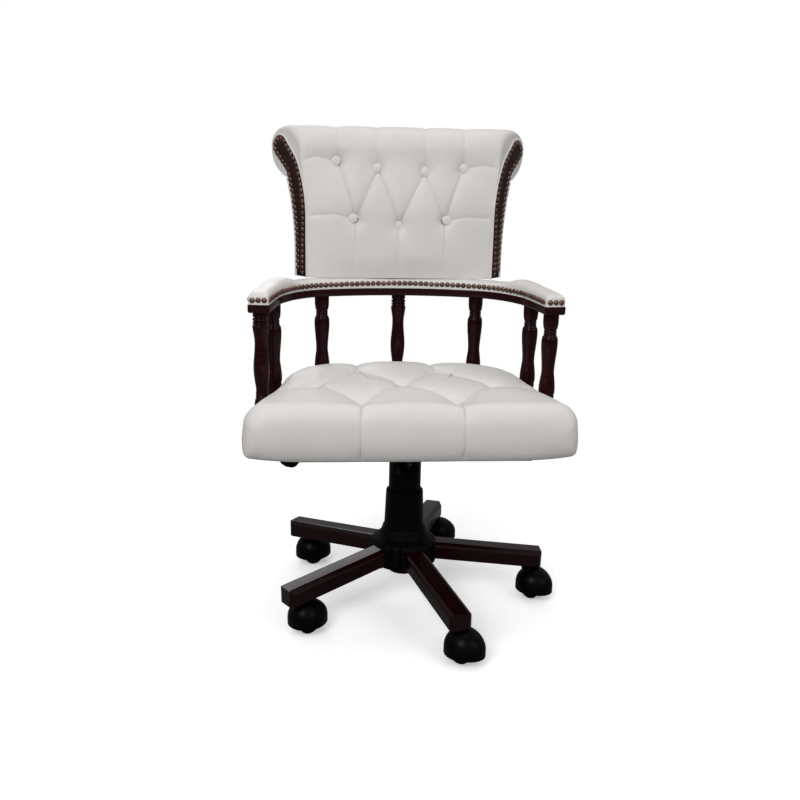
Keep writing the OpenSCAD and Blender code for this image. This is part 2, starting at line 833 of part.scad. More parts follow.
plate_bolt_x = 66;
plate_bolt_y = [-92, 88];
frame_bolt_at = [-375, -245, -60, 60, 245, 375];
back_bolt_x = 120;
back_bolt_y = back_y + 12;

module seat_plate() {
    w = 84;
    front = 112;
    rear = 106;
    color(plastic)
    difference() {
        union() {
            translate([-w, -front, plate_z]) cube([2 * w, front + rear, plate_t]);
            for (x = [-ear_x - ear_t, ear_x])
                translate([x, -pin_front - 13, pin_z - ear_drop])
                    cube([ear_t, 26, plate_z - pin_z + ear_drop + eps]);
        }
        translate([-housing_w, -pin_front, pin_z])
            rotate([0, 90, 0]) cylinder(h = 2 * housing_w, r = pin_d / 2 + run_fit);
        for (x = [-plate_bolt_x, plate_bolt_x])
            for (y = plate_bolt_y)
                translate([x, y, plate_z - 1]) cylinder(h = plate_t + 2, r = 4 + seat_fit);
        translate([0, -knob_front, plate_z - 1])
            cylinder(h = plate_t + 2, r = tension_bolt_d / 2 + seat_fit);
    }
}

module frame_bolts() {
    color(steel) {
        for (x = [-plate_bolt_x, plate_bolt_x])
            for (y = plate_bolt_y)
                translate([x, y, plate_z]) bolt(8, plate_t + board_t - 3, 13, bolt_head_h);
        for (s = frame_bolt_at)
            translate([bow(s)[0], bow(s)[1], board_z]) bolt(6, board_t + frame_h - 8, 10, 4);
        for (x = [-back_bolt_x, back_bolt_x])
            translate([x, back_bolt_y, rail_z]) bolt(6, rail_t + 15, 10, 4);
        translate([0, -knob_front, tension_bolt_z])
            cylinder(h = plate_z + plate_t - tension_bolt_z, d = tension_bolt_d);
    }
}

// Half width of the cushion at a distance y, before its bulge
bow_arm_side = bow(bow_l, -frame_w / 2)[0];
cushion_corner = 34;
function cushion_half(y) = let (
    inner_back = bow_back_r - frame_w / 2,
    inner_corner = bow_corner_r - frame_w / 2,
    back_c = bow_back_y - bow_back_r,
    y_arc = back_c + inner_back * cos(back_arc),
    y_arm = bow_c[1] + inner_corner * cos(arm_turn),
    x_arm = bow_c[0] + inner_corner * sin(arm_turn),
    y_end = -arm_front_y)
    y > y_arc ? sqrt(pow(inner_back, 2) - pow(y - back_c, 2))
    : y > y_arm ? bow_c[0] + sqrt(pow(inner_corner, 2) - pow(y - bow_c[1], 2))
    : y > y_end ? x_arm + (y_arm - y) * tan(arm_flare)
    : let (front_y = cushion_corner - cushion_front_y,
           t = min((y_end - y) / (y_end - front_y), 1),
           d = max(front_y - y, 0))
        mix_line(bow_arm_side, cushion_front_x, t) - cushion_corner
            + sqrt(max(pow(cushion_corner, 2) - pow(d, 2), 0));
function mix_line(a, b, t) = a + (b - a) * t;

// Distance of the board's front edge behind the cushion's
set_back = 50;
module seat_board() {
    front = cushion_front_y - set_back;
    front_x = cushion_front_x - set_back;
    side = frame_w / 2 - 2;
    tip = bow(bow_l, side);
    color("#b08d5e")
    difference() {
        translate([0, 0, board_z])
            linear_extrude(board_t)
                polygon(concat(
                    [for (i = [0 : 72]) bow(bow_l * (2 * i / 72 - 1), side)],
                    [[front_x + 20, tip[1] - 50], [front_x, 30 - front], [front_x - 30, -front],
                     [30 - front_x, -front], [-front_x, 30 - front], [-front_x - 20, tip[1] - 50]]));
        for (x = [-plate_bolt_x, plate_bolt_x])
            for (y = plate_bolt_y)
                translate([x, y, board_z - 1]) cylinder(h = board_t - 1, r = 4 + seat_fit);
        for (s = frame_bolt_at)
            translate([bow(s)[0], bow(s)[1], board_z - 1])
                cylinder(h = board_t + 2, r = 3 + seat_fit);
    }
}

module seat_frame() {
    color(wood)
    difference() {
        translate([0, 0, frame_z])
            linear_extrude(frame_h) polygon(bow_plan(frame_w / 2, frame_w / 2));
        for (i = [0 : len(post_at) - 1])
            translate([post_xy(i)[0], post_xy(i)[1], post_z - tenon_h - gap])
                cylinder(h = tenon_h + 1, d = tenon_d + 2 * seat_fit);
        for (s = frame_bolt_at)
            translate([bow(s)[0], bow(s)[1], frame_z - 1])
                cylinder(h = frame_h - 6, r = 3 + seat_fit);
    }
}

// Seat tufts in a diamond pattern, the pleats between them and those to the front and rear
tuft_front = 139;
tuft_row = [-tuft_front, tuft_dy - tuft_front - 4, 2 * tuft_dy - tuft_front];
tufts = concat(
    [for (x = [-0.55, 0.54]) [x * tuft_dx, tuft_row[0]]],
    [for (x = [-1.12, -0.06, 1.03]) [x * tuft_dx, tuft_row[1]]],
    [for (x = [-0.56, 0.38]) [x * tuft_dx, tuft_row[2]]]);
tuft_pairs = [for (a = [0 : len(tufts) - 1]) for (b = [a + 1 : 1 : len(tufts) - 1])
    let (d = tufts[b] - tufts[a])
    if (abs(d[0]) < tuft_dx * 0.7 && abs(abs(d[1]) - tuft_dy) < 5) [tufts[a], tufts[b]]];
edge_pleats = concat(
    [for (i = [0, 1]) [tufts[i], [tufts[i][0] * 1.05, -cushion_front_y - 5]]],
    [for (i = [5, 6]) [tufts[i], [tufts[i][0] * 1.05, bow_back_y]]]);
function seat_sink(p) =
    min(seat_tuft, max([for (t = tufts) dimple(norm(p - t), seat_tuft, 26)])
        + 0.35 * max([for (s = concat(tuft_pairs, edge_pleats))
            dimple(to_stretch(p, s[0], s[1]), seat_tuft, 11)]));

// Rise of a rounded edge at a share of its width: a quarter circle, or flatter
function quarter(t) = let (u = 1 - min(max(t, 0), 1)) sqrt(1 - u * u);
function parabola(t) = let (u = 1 - min(max(t, 0), 1)) 1 - u * u;

// Heights over the seat frame's foot, at a distance d behind the cushion's front
seat_rear_y = bow_back_y - frame_w / 2 - 3.5;
cushion_sag = 4;
front_edge = 36;
side_edge = 44;
front_rim = 0.55 * cushion_h;
rear_rim = 0.44 * cushion_h;
// Share of the crown's height at a distance in from the edge that the frame holds
framed_edge = [34, 150];
function framed_rise(e) = 0.57 * quarter(e / framed_edge[0]) + 0.43 * parabola(e / framed_edge[1]);
// Distance of a place from the cushion's rounded rear corners
corner_reach = bow_corner_r - frame_w / 2 - 3.5;
function from_corner(p) = p[1] < bow_c[1] || abs(p[0]) < bow_c[0] ? cushion_h
    : corner_reach - norm([abs(p[0]) - bow_c[0], p[1] - bow_c[1]]);
function cushion_low(d) = mix(29, 0, d / 14);
function front_x(y) = -cushion_shift * soft(-y / 90);
function cushion_rim(d) = d < 30 ? mix(37, front_rim, d / 10) : mix(front_rim, rear_rim, (d - 30) / 110);
function cushion_top(d) = let (
    crown = mix(0.91, 1, (d - 30) / 110) - 0.05 * soft((d - 260) / 120))
    cushion_rim(d) + (crown * cushion_h - cushion_rim(d)) * quarter(d / front_edge);

module seat_cushion() {
    depth = seat_rear_y + cushion_front_y;
    offsets = concat([0, 2.5, 8, 18, 32, set_back - 4],
        [for (i = [1 : 16]) set_back - 4 + i * (depth - set_back - 20) / 16],
        [for (left = [16, 10, 5, 1.5, 0]) depth - left]);
    across = [for (i = [-13 : 13]) i / 13];
    color(leather)
    loft([for (d = offsets) let (
            y = d - cushion_front_y,
            half = cushion_half(y) - 0.3,
            left = depth - d,
            tail = left < 2 ? 1 : 0,
            low = frame_z + cushion_low(d) + 6 * tail,
            rim = frame_z + cushion_rim(d) - 5 * tail,
            top = frame_z + cushion_top(d),
            wide = soft(d / 150),
            framed = soft((d - 150) / 40),
            free = d < set_back - 6,
            side_low = low + (free ? 3 : 0),
            waist = mix_line(side_low + 0.24 * (rim - side_low), post_z + gap, framed),
            belly = mix_line(side_low + 0.52 * (rim - side_low), post_z + 4, framed),
            bulge = d < 2 || left < 2 ? 0.5 : 2.2)
        [for (p = concat(
            [[0, low + (free ? -cushion_sag : tail)]],
            [[4 - half, side_low]],
            [[-half, waist]],
            [[-half - bulge, belly]],
            [[-half, belly + 0.6 * (rim - belly)]],
            [for (u = across) let (
                    x = u * (half - 5),
                    away = (half - 5) * (1 - abs(u)),
                    edge = min(away, left + 2, max(from_corner([x, y]), 0)),
                    round = mix_line(quarter(away / side_edge), framed_rise(edge), wide),
                    sink = seat_sink([x, y]) * min(away / 30, 1) * min(left / 30, 1))
                [x, max(rim, rim + (top - rim) * round - sink * soft(d / 22 + 0.2)) + 1.5 * (1 - u * u)]],
            [[half, belly + 0.6 * (rim - belly)]],
            [[half + bulge, belly]],
            [[half, waist]],
            [[half - 4, side_low]]))
            [p[0] + front_x(y), y, p[1]]]]);
}

// Arms

// Turned outlines of an upright and of an upended post, as [share of the radius, share of
// the height] from the square-cut end that stands down in the one and up in the other
post_shape = [[0.95, 0], [0.95, 0.06], [0.82, 0.07], [0.9, 0.08], [0.9, 0.1], [0.84, 0.11],
    [0.92, 0.12], [0.92, 0.14], [0.8, 0.15], [0.93, 0.16], [0.93, 0.18], [0.86, 0.185],
    [0.96, 0.2], [1, 0.235], [0.97, 0.29], [0.87, 0.36], [0.79, 0.41], [0.78, 0.43],
    [0.8, 0.48], [0.88, 0.56], [0.96, 0.63], [1, 0.69], [1, 0.72], [0.95, 0.76],
    [0.77, 0.79], [0.8, 0.8], [0.74, 0.81], [0.8, 0.825], [0.74, 0.835], [0.86, 0.86],
    [0.93, 0.9], [0.95, 0.93], [0.95, 1]];
upended_shape = [[0.92, 0], [0.92, 0.045], [0.8, 0.055], [0.95, 0.068], [0.95, 0.08],
    [0.8, 0.09], [0.95, 0.1], [0.95, 0.11], [0.85, 0.12], [1, 0.135], [0.97, 0.16],
    [0.88, 0.21], [0.79, 0.26], [0.77, 0.3], [0.79, 0.35], [0.87, 0.43], [0.95, 0.5],
    [0.97, 0.557], [0.94, 0.61], [0.84, 0.68], [0.74, 0.735], [0.72, 0.75], [0.72, 0.778],
    [0.77, 0.8], [0.72, 0.81], [0.8, 0.83], [0.74, 0.84], [0.85, 0.86], [0.93, 0.9],
    [0.95, 0.94], [0.95, 1]];

module post(i) {
    up = post_flipped[i] == 0;
    color(wood)
    translate([post_xy(i)[0], post_xy(i)[1], post_z])
    union() {
        translate([0, 0, up ? 0 : post_h])
            mirror([0, 0, up ? 0 : 1])
                rotate_extrude()
                    polygon(concat([[0, 0]],
                        [for (p = up ? post_shape : upended_shape) [p[0] * post_d / 2, p[1] * post_h]],
                        [[0, post_h]]));
        translate([0, 0, -tenon_h]) cylinder(h = post_h + 2 * tenon_h, d = tenon_d);
    }
}

module arm_rail() {
    c = rail_chamfer;
    color(wood)
    difference() {
        bow_sweep([for (s = stations) let (i = -rail_in(s), o = rail_out(s))
            [[o - c, rail_z], [o, rail_z + c], [o, pad_z - 1], [o - 1, pad_z],
             [i + 1, pad_z], [i, pad_z - 1], [i, rail_z + c], [i + c, rail_z]]], stations);
        for (i = [0 : len(post_at) - 1])
            translate([post_xy(i)[0], post_xy(i)[1], rail_z - 1])
                cylinder(h = tenon_h + 1 + gap, d = tenon_d + 2 * seat_fit);
        for (x = [-back_bolt_x, back_bolt_x])
            translate([x, back_bolt_y, rail_z - 1])
                cylinder(h = rail_t + 2, r = 3 + seat_fit);
    }
}

// Height of the pad along the bow: low under the back, fullest round the corners
pad_corner_h = 33;
function pad_h(s) = mix(pad_back_h, pad_corner_h, (abs(s) - 250) / 45)
    - (pad_corner_h - pad_arm_h) * soft((abs(s) - 335) / 60);

tenon_w = 40;
tenon_t = 15;
module arm_pad() {
    color(leather)
    difference() {
        bow_sweep([for (s = stations) let (
                i = pad_inset - rail_in(s),
                o = rail_out(s) - pad_inset,
                m = (i + o) / 2,
                w = (o - i) / 2,
                end = bow_l - abs(s),
                h = pad_h(s) - (end < 1 ? 8 : end < 16 ? 3 : 0))
            [[o, pad_z], [o, pad_z + nail_band], [m + 0.9 * w, pad_z + mix_line(nail_band, h, 0.5)],
             [m + 0.62 * w, pad_z + mix_line(nail_band, h, 0.85)], [m + 0.2 * w, pad_z + h],
             [m - 0.2 * w, pad_z + h], [m - 0.62 * w, pad_z + mix_line(nail_band, h, 0.85)],
             [m - 0.9 * w, pad_z + mix_line(nail_band, h, 0.5)], [i, pad_z + nail_band], [i, pad_z]]],
            stations);
        for (x = [-back_bolt_x, back_bolt_x])
            translate([x - tenon_w / 2 - seat_fit, back_bolt_y - tenon_t / 2 - seat_fit, pad_z - 1])
                cube([tenon_w + 2 * seat_fit, tenon_t + 2 * seat_fit, pad_arm_h + 4]);
    }
}

// Nail heads as one mesh: each place is [x, y, z, direction that the head faces]
nail_sides = 6;
function nail_ring(p, r, h) = let (n = [cos(p[3]), sin(p[3])])
    [for (k = [0 : nail_sides - 1]) let (a = k * 360 / nail_sides, w = r * cos(a))
        [p[0] + h * n[0] - w * n[1], p[1] + h * n[1] + w * n[0], p[2] + r * sin(a)]];
function nail_faces(m) = concat(
    [[for (k = [0 : nail_sides - 1]) m + k]],
    [for (k = [0 : nail_sides - 1]) let (j = (k + 1) % nail_sides, u = m + nail_sides)
        each [[m + k, u + k, u + j], [m + k, u + j, m + j], [u + j, u + k, m + 2 * nail_sides]]]);
module nail_mesh(places) {
    polyhedron(
        points = [for (p = places) each concat(
            nail_ring(p, nail_d / 2, 0),
            nail_ring(p, nail_d / 2 * 0.72, nail_h * 0.7),
            [nail_ring(p, 0, nail_h)[0]])],
        faces = [for (i = [0 : len(places) - 1]) each nail_faces(i * (2 * nail_sides + 1))],
        convexity = 4);
}

// A place on the line of nails at the length s, outside (side 1) or inside (side -1)
function nail_at(s, side) =
    bow(s, (side > 0 ? rail_out(s) : -rail_in(s)) + side * (nail_seat - pad_inset));
// Each nail stands square to the pad's edge, which leans in where the arm gets wider
function nails_along(out, side) = let (
    n = floor((bow_edge(out, bow_l) - nail_pitch / 2) / nail_pitch))
    [for (i = [-n : n]) let (
            s = bow_at_edge(out, abs(i) * nail_pitch) * sign(i),
            q = nail_at(s, side),
            run = nail_at(s + nail_d / 2, side) - nail_at(s - nail_d / 2, side))
        [q[0], q[1], nail_z, atan2(run[1], run[0]) + 90 * side]];
// Length along an edge at a distance out from the centre line, and back again
function bow_edge(out, s) =
    min(s, bow_back_l) * (1 + out / bow_back_r)
    + min(max(s - bow_back_l, 0), bow_corner_l) * (1 + out / bow_corner_r)
    + max(s - bow_back_l - bow_corner_l, 0);
function bow_at_edge(out, e) = let (
    e1 = bow_back_l * (1 + out / bow_back_r),
    e2 = bow_corner_l * (1 + out / bow_corner_r))
    e < e1 ? e / (1 + out / bow_back_r)
    : e < e1 + e2 ? bow_back_l + (e - e1) / (1 + out / bow_corner_r)
    : bow_back_l + bow_corner_l + e - e1 - e2;

module arm_nails() {
    mid = (rail_out(bow_l) - rail_in(bow_l)) / 2;
    ends = [for (side = [-1, 1]) for (k = [-1, 0, 1])
        let (q = bow(side * (bow_l + nail_seat), mid + k * nail_pitch))
            [q[0], q[1], nail_z, -90 + side * arm_flare]];
    color(bronze) nail_mesh(concat(nails_along(-21, -1), nails_along(26, 1), ends));
}

// Back

// Wedge between the two facing planes, moved inwards by a distance
module back_wedge(inwards = 0) {
    near = back_y - 60;
    far = back_y + 160;
    shift = inwards / cos(facing_angle);
    translate([0, 0, pad_z - 10])
        linear_extrude(back_top - pad_z + 20)
            polygon([[shift - back_half(near), near], [back_half(near) - shift, near],
                     [back_half(far) - shift, far], [shift - back_half(far), far]]);
}
module along_x(half) {
    rotate([90, 0, 90])
        translate([0, 0, -half])
            linear_extrude(2 * half)
                children();
}

module back_frame() {
    color("#b08d5e")
    difference() {
        union() {
            intersection() {
                along_x(back_x + 160) polygon(core_outline);
                back_wedge(facing_t);
            }
            for (x = [-back_bolt_x, back_bolt_x])
                translate([x - tenon_w / 2, back_bolt_y - tenon_t / 2, pad_z])
                    cube([tenon_w, tenon_t, back_z - pad_z + eps]);
        }
        for (x = [-back_bolt_x, back_bolt_x])
            translate([x, back_bolt_y, pad_z - 1]) cylinder(h = 18, r = 3 + seat_fit);
    }
}

module back_facings() {
    color(wood)
    intersection() {
        along_x(back_x + 160) polygon(core_outline);
        difference() {
            back_wedge();
            back_wedge(facing_t);
        }
    }
}

// Leather outline over the core, as [y, z], without crown and tufts
function roll_point(a) = [back_y + squash * (roll_s + roll_rs * cos(a)), roll_z + roll_rz * sin(a)];
function leather_front(z) = mix(back_y - 2, roll_point(180)[0], (z - bend_z) / (roll_z - bend_z));
leather_line = concat(
    [for (a = [-70 : 20 : 190]) roll_point(a)],
    [for (i = [len(core_front_z) - 1 : -1 : 0]) let (z = back_z + max(core_front_z[i], 1))
        [leather_front(z), z]]);

// Pleats between the buttons, to the side edges, over the roll and down to the foot
function lift_up(b) = [b[0], b[1] + back_z];
back_pleats = concat(
    [for (b = button_top) [lift_up(b), [b[0] * 1.04, back_top + 60]]],
    [for (b = button_low) [lift_up(b), [b[0] * 1.02, back_z - 20]]],
    [for (i = [0 : 2]) [lift_up(button_low[i]), lift_up(button_top[i])]],
    [for (i = [0 : 2]) [lift_up(button_low[i]), lift_up(button_top[i + 1])]],
    [for (b = [button_top[0], button_low[0]]) [lift_up(b), [-back_x - 60, b[1] + back_z + 14]]],
    [for (b = [button_top[3], button_low[2]]) [lift_up(b), [back_x + 60, b[1] + back_z + 14]]]);
function back_sink(p) =
    max([for (b = buttons) dimple(norm(p - lift_up(b)), back_tuft, 24)])
    + 0.3 * max([for (s = back_pleats) dimple(to_stretch(p, s[0], s[1]), back_tuft, 10)]);
// Crown of the cushion at a share u of its half width
function back_swell(u, z) = back_crown * (1 - pow(abs(u), 3))
    * soft((z - back_z) / 70 + 0.25) * (1 - 0.6 * soft((z - bend_z) / 190));

module back_cushion() {
    across = [for (i = [-9 : 9]) i / 9];
    color(leather)
    difference() {
        loft_pairs([for (u = across)
            concat(
                [for (p = leather_line) let (
                        x = u * back_half(p[0]),
                        facing = p[0] < roll_point(90)[0] ? 1 : 0,
                        y = p[0] - facing * (back_swell(u, p[1])
                            - back_sink([x, p[1]]) * min((1 - abs(u)) * 8, 1)))
                    [u * back_half(y), y, p[1]]],
                [for (p = core_up) [u * back_half(p[0]), p[0], p[1]]])]);
        for (b = buttons)
            at_button(b) cylinder(h = 60, r = button_d / 2 + 2 * seat_fit);
    }
}

// Seat of a button, sunk in its tuft, with +Z out of the cushion
button_seat = 4;
module at_button(b) {
    z = b[1] + back_z;
    u = b[0] / back_half(leather_front(z));
    translate([b[0], leather_front(z) - back_swell(u, z) + back_tuft + button_seat - 6, z])
        rotate([90, 0, 0])
            children();
}

module back_buttons() {
    r = button_d / 2;
    color(leather)
    for (b = buttons)
        at_button(b)
            rotate_extrude($fn = 32)
                polygon(concat([[0, 0], [r, 0]],
                    [for (a = [0 : 18 : 90]) [r * cos(a), 3 + 4 * sin(a)]]));
}

module back_cover() {
    color(leather)
    intersection() {
        along_x(back_x + 160)
            polygon(concat(core_back, [for (i = [len(core_back) - 1 : -1 : 0]) core_back[i] + [cover_t, 0]]));
        back_wedge();
    }
}

// Centre line of the nails on a facing, as [s, z] in the facing's own plane
nail_line = concat(
    [for (h = [8 : 12 : 128]) [7, back_z + h]],
    [for (h = [138 : 10 : 238]) [(core_front(back_z + h) - back_y) / squash + 7, back_z + h]],
    [for (a = [140 : -20 : -60]) [head_s + (head_r - 7) * cos(a), head_z + (head_r - 7) * sin(a)]],
    [[64, back_z + 228], [54, back_z + 218], [48, back_z + 204]],
    [for (h = [190 : -14 : 8]) [(core_rear(back_z + h) - back_y) / squash - 7, back_z + h]]);
function path_l(path, n) = n == 0 ? 0 : path_l(path, n - 1) + norm(path[n] - path[n - 1]);
nail_run = [for (n = [0 : len(nail_line) - 1]) path_l(nail_line, n)];
function on_path(d) = let (
    n = max([for (k = [0 : len(nail_run) - 2]) nail_run[k] <= d ? k : 0]),
    t = (d - nail_run[n]) / (nail_run[n + 1] - nail_run[n]))
    nail_line[n] + t * (nail_line[n + 1] - nail_line[n]);

module back_nails() {
    total = nail_run[len(nail_run) - 1];
    n = floor(total / nail_pitch);
    color(bronze)
    nail_mesh([for (side = [-1, 1]) for (i = [0 : n])
        let (p = on_path(min(i * nail_pitch, total - eps)))
            [side * (back_x + p[0] * sin(facing_angle) + nail_seat),
             back_y + p[0] * cos(facing_angle), p[1],
             side > 0 ? -facing_angle : 180 + facing_angle]]);
}

base_hub();
for (i = legs)
    base_leg(i);
leg_bolts();
stand_tube();
guide_bush();
lower_column_cover();
caster_stems();
piston_rod();
thrust_bearing();
retaining_clip();
middle_column_cover();
gas_cylinder();
upper_column_cover();
mechanism_housing();
pivot_pin();
tension_spring();
height_lever();
valve_button();
spring_washer();
tension_knob();
seat_plate();
frame_bolts();
seat_board();
seat_frame();
seat_cushion();
for (i = [0 : post_n - 1])
    post(i);
arm_rail();
arm_pad();
arm_nails();
back_frame();
back_facings();
back_cushion();
back_cover();
back_nails();
back_buttons();
for (i = legs)
    caster_hood(i);
for (i = legs)
    wheel_at(i, 1);
for (i = legs)
    wheel_at(i, -1);
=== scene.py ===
import math

import bmesh
import bpy
import numpy as np
from mathutils import Matrix, Vector
from mathutils.kdtree import KDTree


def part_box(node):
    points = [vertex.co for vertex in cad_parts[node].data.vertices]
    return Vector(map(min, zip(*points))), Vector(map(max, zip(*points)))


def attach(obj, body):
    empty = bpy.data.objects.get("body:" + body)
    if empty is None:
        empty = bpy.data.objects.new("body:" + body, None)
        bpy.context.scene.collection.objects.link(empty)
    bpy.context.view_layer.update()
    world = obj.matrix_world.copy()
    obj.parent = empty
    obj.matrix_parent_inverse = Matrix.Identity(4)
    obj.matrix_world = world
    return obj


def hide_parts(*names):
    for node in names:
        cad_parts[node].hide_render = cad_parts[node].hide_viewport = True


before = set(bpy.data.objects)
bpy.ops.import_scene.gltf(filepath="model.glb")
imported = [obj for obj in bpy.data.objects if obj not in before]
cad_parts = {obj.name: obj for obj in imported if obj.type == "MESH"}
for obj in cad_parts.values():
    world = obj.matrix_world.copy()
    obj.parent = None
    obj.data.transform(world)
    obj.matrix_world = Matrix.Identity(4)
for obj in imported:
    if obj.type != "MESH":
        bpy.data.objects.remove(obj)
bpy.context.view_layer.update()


# Small helpers: lengths are in millimetres until a piece is made

def soft(t):
    u = np.clip(t, 0, 1)
    return u * u * (3 - 2 * u)


def mix(a, b, t):
    return a + (b - a) * soft(t)


def quarter(t):
    return np.sqrt(1 - (1 - np.clip(t, 0, 1)) ** 2)


def parabola(t):
    return 1 - (1 - np.clip(t, 0, 1)) ** 2


def toStretch(x, y, a, b):
    # Distance to the line from a to b, which may be one point
    ax, ay = a
    dx, dy = b[0] - ax, b[1] - ay
    t = np.clip(((x - ax) * dx + (y - ay) * dy) / max(dx * dx + dy * dy, 1e-9), 0, 1)
    return np.hypot(x - ax - t * dx, y - ay - t * dy)


def turned(points, degrees):
    a = math.radians(degrees)
    p = np.array(points, float)
    x, y = p[:, 0], p[:, 1]
    p[:, 0], p[:, 1] = x * math.cos(a) - y * math.sin(a), x * math.sin(a) + y * math.cos(a)
    return p


def runOf(points):
    # Length along a line of points, at each of them
    return np.concatenate([[0], np.cumsum(np.linalg.norm(np.diff(points, axis=0), axis=1))])


def resample(points, count):
    points = np.asarray(points, float)
    run = runOf(points)
    at = np.linspace(0, run[-1], count)
    return np.stack([np.interp(at, run, points[:, k]) for k in range(points.shape[1])], 1)


def gridFaces(rows, cols, closeCols=False, start=0):
    faces = []
    last = cols if closeCols else cols - 1
    for i in range(rows - 1):
        for j in range(last):
            k = (j + 1) % cols
            faces.append((start + i * cols + j, start + (i + 1) * cols + j,
                          start + (i + 1) * cols + k, start + i * cols + k))
    return faces


def cappedFaces(rows, cols):
    # A closed tube of rows with one face over each end
    faces = gridFaces(rows, cols, True)
    faces.append(tuple(range(cols)))
    faces.append(tuple(range((rows - 1) * cols, rows * cols)))
    return faces


def addObject(name, data):
    obj = bpy.data.objects.new(name, data)
    bpy.context.scene.collection.objects.link(obj)
    return obj


def piece(name, points, faces, body, material, replaced=(), smoothAngle=60):
    mesh = bpy.data.meshes.new(name)
    mesh.from_pydata([tuple(p) for p in np.asarray(points) / 1000], [], faces)
    work = bmesh.new()
    work.from_mesh(mesh)
    bmesh.ops.remove_doubles(work, verts=work.verts, dist=1e-6)
    bmesh.ops.recalc_face_normals(work, faces=work.faces)
    work.to_mesh(mesh)
    work.free()
    obj = addObject(name, mesh)
    shade(obj, smoothAngle)
    mesh.materials.append(material)
    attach(obj, body)
    if replaced:
        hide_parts(*replaced)
    return obj


def shade(obj, angle):
    mesh = obj.data
    mesh.polygons.foreach_set("use_smooth", [True] * len(mesh.polygons))
    work = bmesh.new()
    work.from_mesh(mesh)
    limit = math.radians(angle)
    for edge in work.edges:
        edge.smooth = len(edge.link_faces) != 2 or edge.calc_face_angle(0) < limit
    work.to_mesh(mesh)
    work.free()


def paintCreaseShade(obj, points, paintedShade):
    # Painted shade for creases, pits and pleats: merged points keep the painted shade of the nearest original
    # point
    tree = KDTree(len(points))
    for n, p in enumerate(points / 1000):
        tree.insert(p, n)
    tree.balance()
    v = np.clip([paintedShade[tree.find(q.co)[1]] for q in obj.data.vertices], 0, 1)
    layer = obj.data.color_attributes.new("creaseShade", "FLOAT_COLOR", "POINT")
    layer.data.foreach_set("color", np.stack([v, v, v, np.ones_like(v)], 1).ravel())


# Levels taken from the CAD frame
level = {
    "seatFrame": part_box("seat_frame")[0][2] * 1000,
    "post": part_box("seat_frame")[1][2] * 1000,
    "rail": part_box("arm_rail")[0][2] * 1000,
    "pad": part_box("arm_rail")[1][2] * 1000,
}
level["back"] = level["pad"] + 21
level["backTop"] = level["back"] + 310


# Materials

class Shader:
    def __init__(self, name):
        self.material = bpy.data.materials.new(name)
        self.material.use_nodes = True
        self.nodes = self.material.node_tree.nodes
        self.links = self.material.node_tree.links
        self.base = self.nodes["Principled BSDF"]
        self.place = self.add("ShaderNodeTexCoord").outputs["Object"]

    def add(self, kind, **values):
        node = self.nodes.new(kind)
        for key, value in values.items():
            if hasattr(node, key):
                setattr(node, key, value)
            else:
                node.inputs[key.replace("_", " ")].default_value = value
        return node

    def link(self, a, b):
        self.links.new(a, b)

    def feed(self, socket, value):
        if hasattr(value, "is_linked"):
            self.link(value, socket)
        elif hasattr(value, "__len__"):
            socket.default_value = tuple(value) + (1,)
        else:
            socket.default_value = value

    def mapped(self, scale=(1, 1, 1), turn=(0, 0, 0)):
        node = self.add("ShaderNodeMapping")
        node.inputs["Scale"].default_value = scale
        node.inputs["Rotation"].default_value = [math.radians(a) for a in turn]
        self.link(self.place, node.inputs["Vector"])
        return node.outputs["Vector"]

    def noise(self, scale, detail=4, rough=0.5, place=None, distort=0):
        node = self.add("ShaderNodeTexNoise", Scale=scale, Detail=detail, Roughness=rough,
                        Distortion=distort)
        self.link(place or self.place, node.inputs["Vector"])
        return node.outputs["Fac"]

    def ramp(self, value, stops):
        node = self.add("ShaderNodeValToRGB")
        ramp = node.color_ramp
        while len(ramp.elements) < len(stops):
            ramp.elements.new(0.5)
        for element, (at, colour) in zip(ramp.elements, stops):
            element.position = at
            element.color = (tuple(colour) if hasattr(colour, "__len__") else (colour,) * 3) + (1,)
        self.link(value, node.inputs["Fac"])
        return node.outputs["Color"]

    def math(self, kind, a, b):
        node = self.add("ShaderNodeMath", operation=kind)
        self.feed(node.inputs[0], a)
        self.feed(node.inputs[1], b)
        return node.outputs["Value"]

    def blendColour(self, factor, a, b):
        node = self.add("ShaderNodeMix", data_type="RGBA")
        for place, value in ((0, factor), (6, a), (7, b)):
            self.feed(node.inputs[place], value)
        return node.outputs[2]

    def bump(self, layers):
        last = None
        for height, strength, distance in layers:
            node = self.add("ShaderNodeBump", Strength=strength, Distance=distance)
            self.link(height, node.inputs["Height"])
            if last:
                self.link(last, node.inputs["Normal"])
            last = node.outputs["Normal"]
        self.link(last, self.base.inputs["Normal"])

    def set(self, **values):
        for key, value in values.items():
            self.feed(self.base.inputs[key.replace("_", " ")], value)


def linear(r, g, b):
    return tuple(c / 12.92 if c <= 0.04045 else ((c + 0.055) / 1.055) ** 2.4
                 for c in (r / 255, g / 255, b / 255))


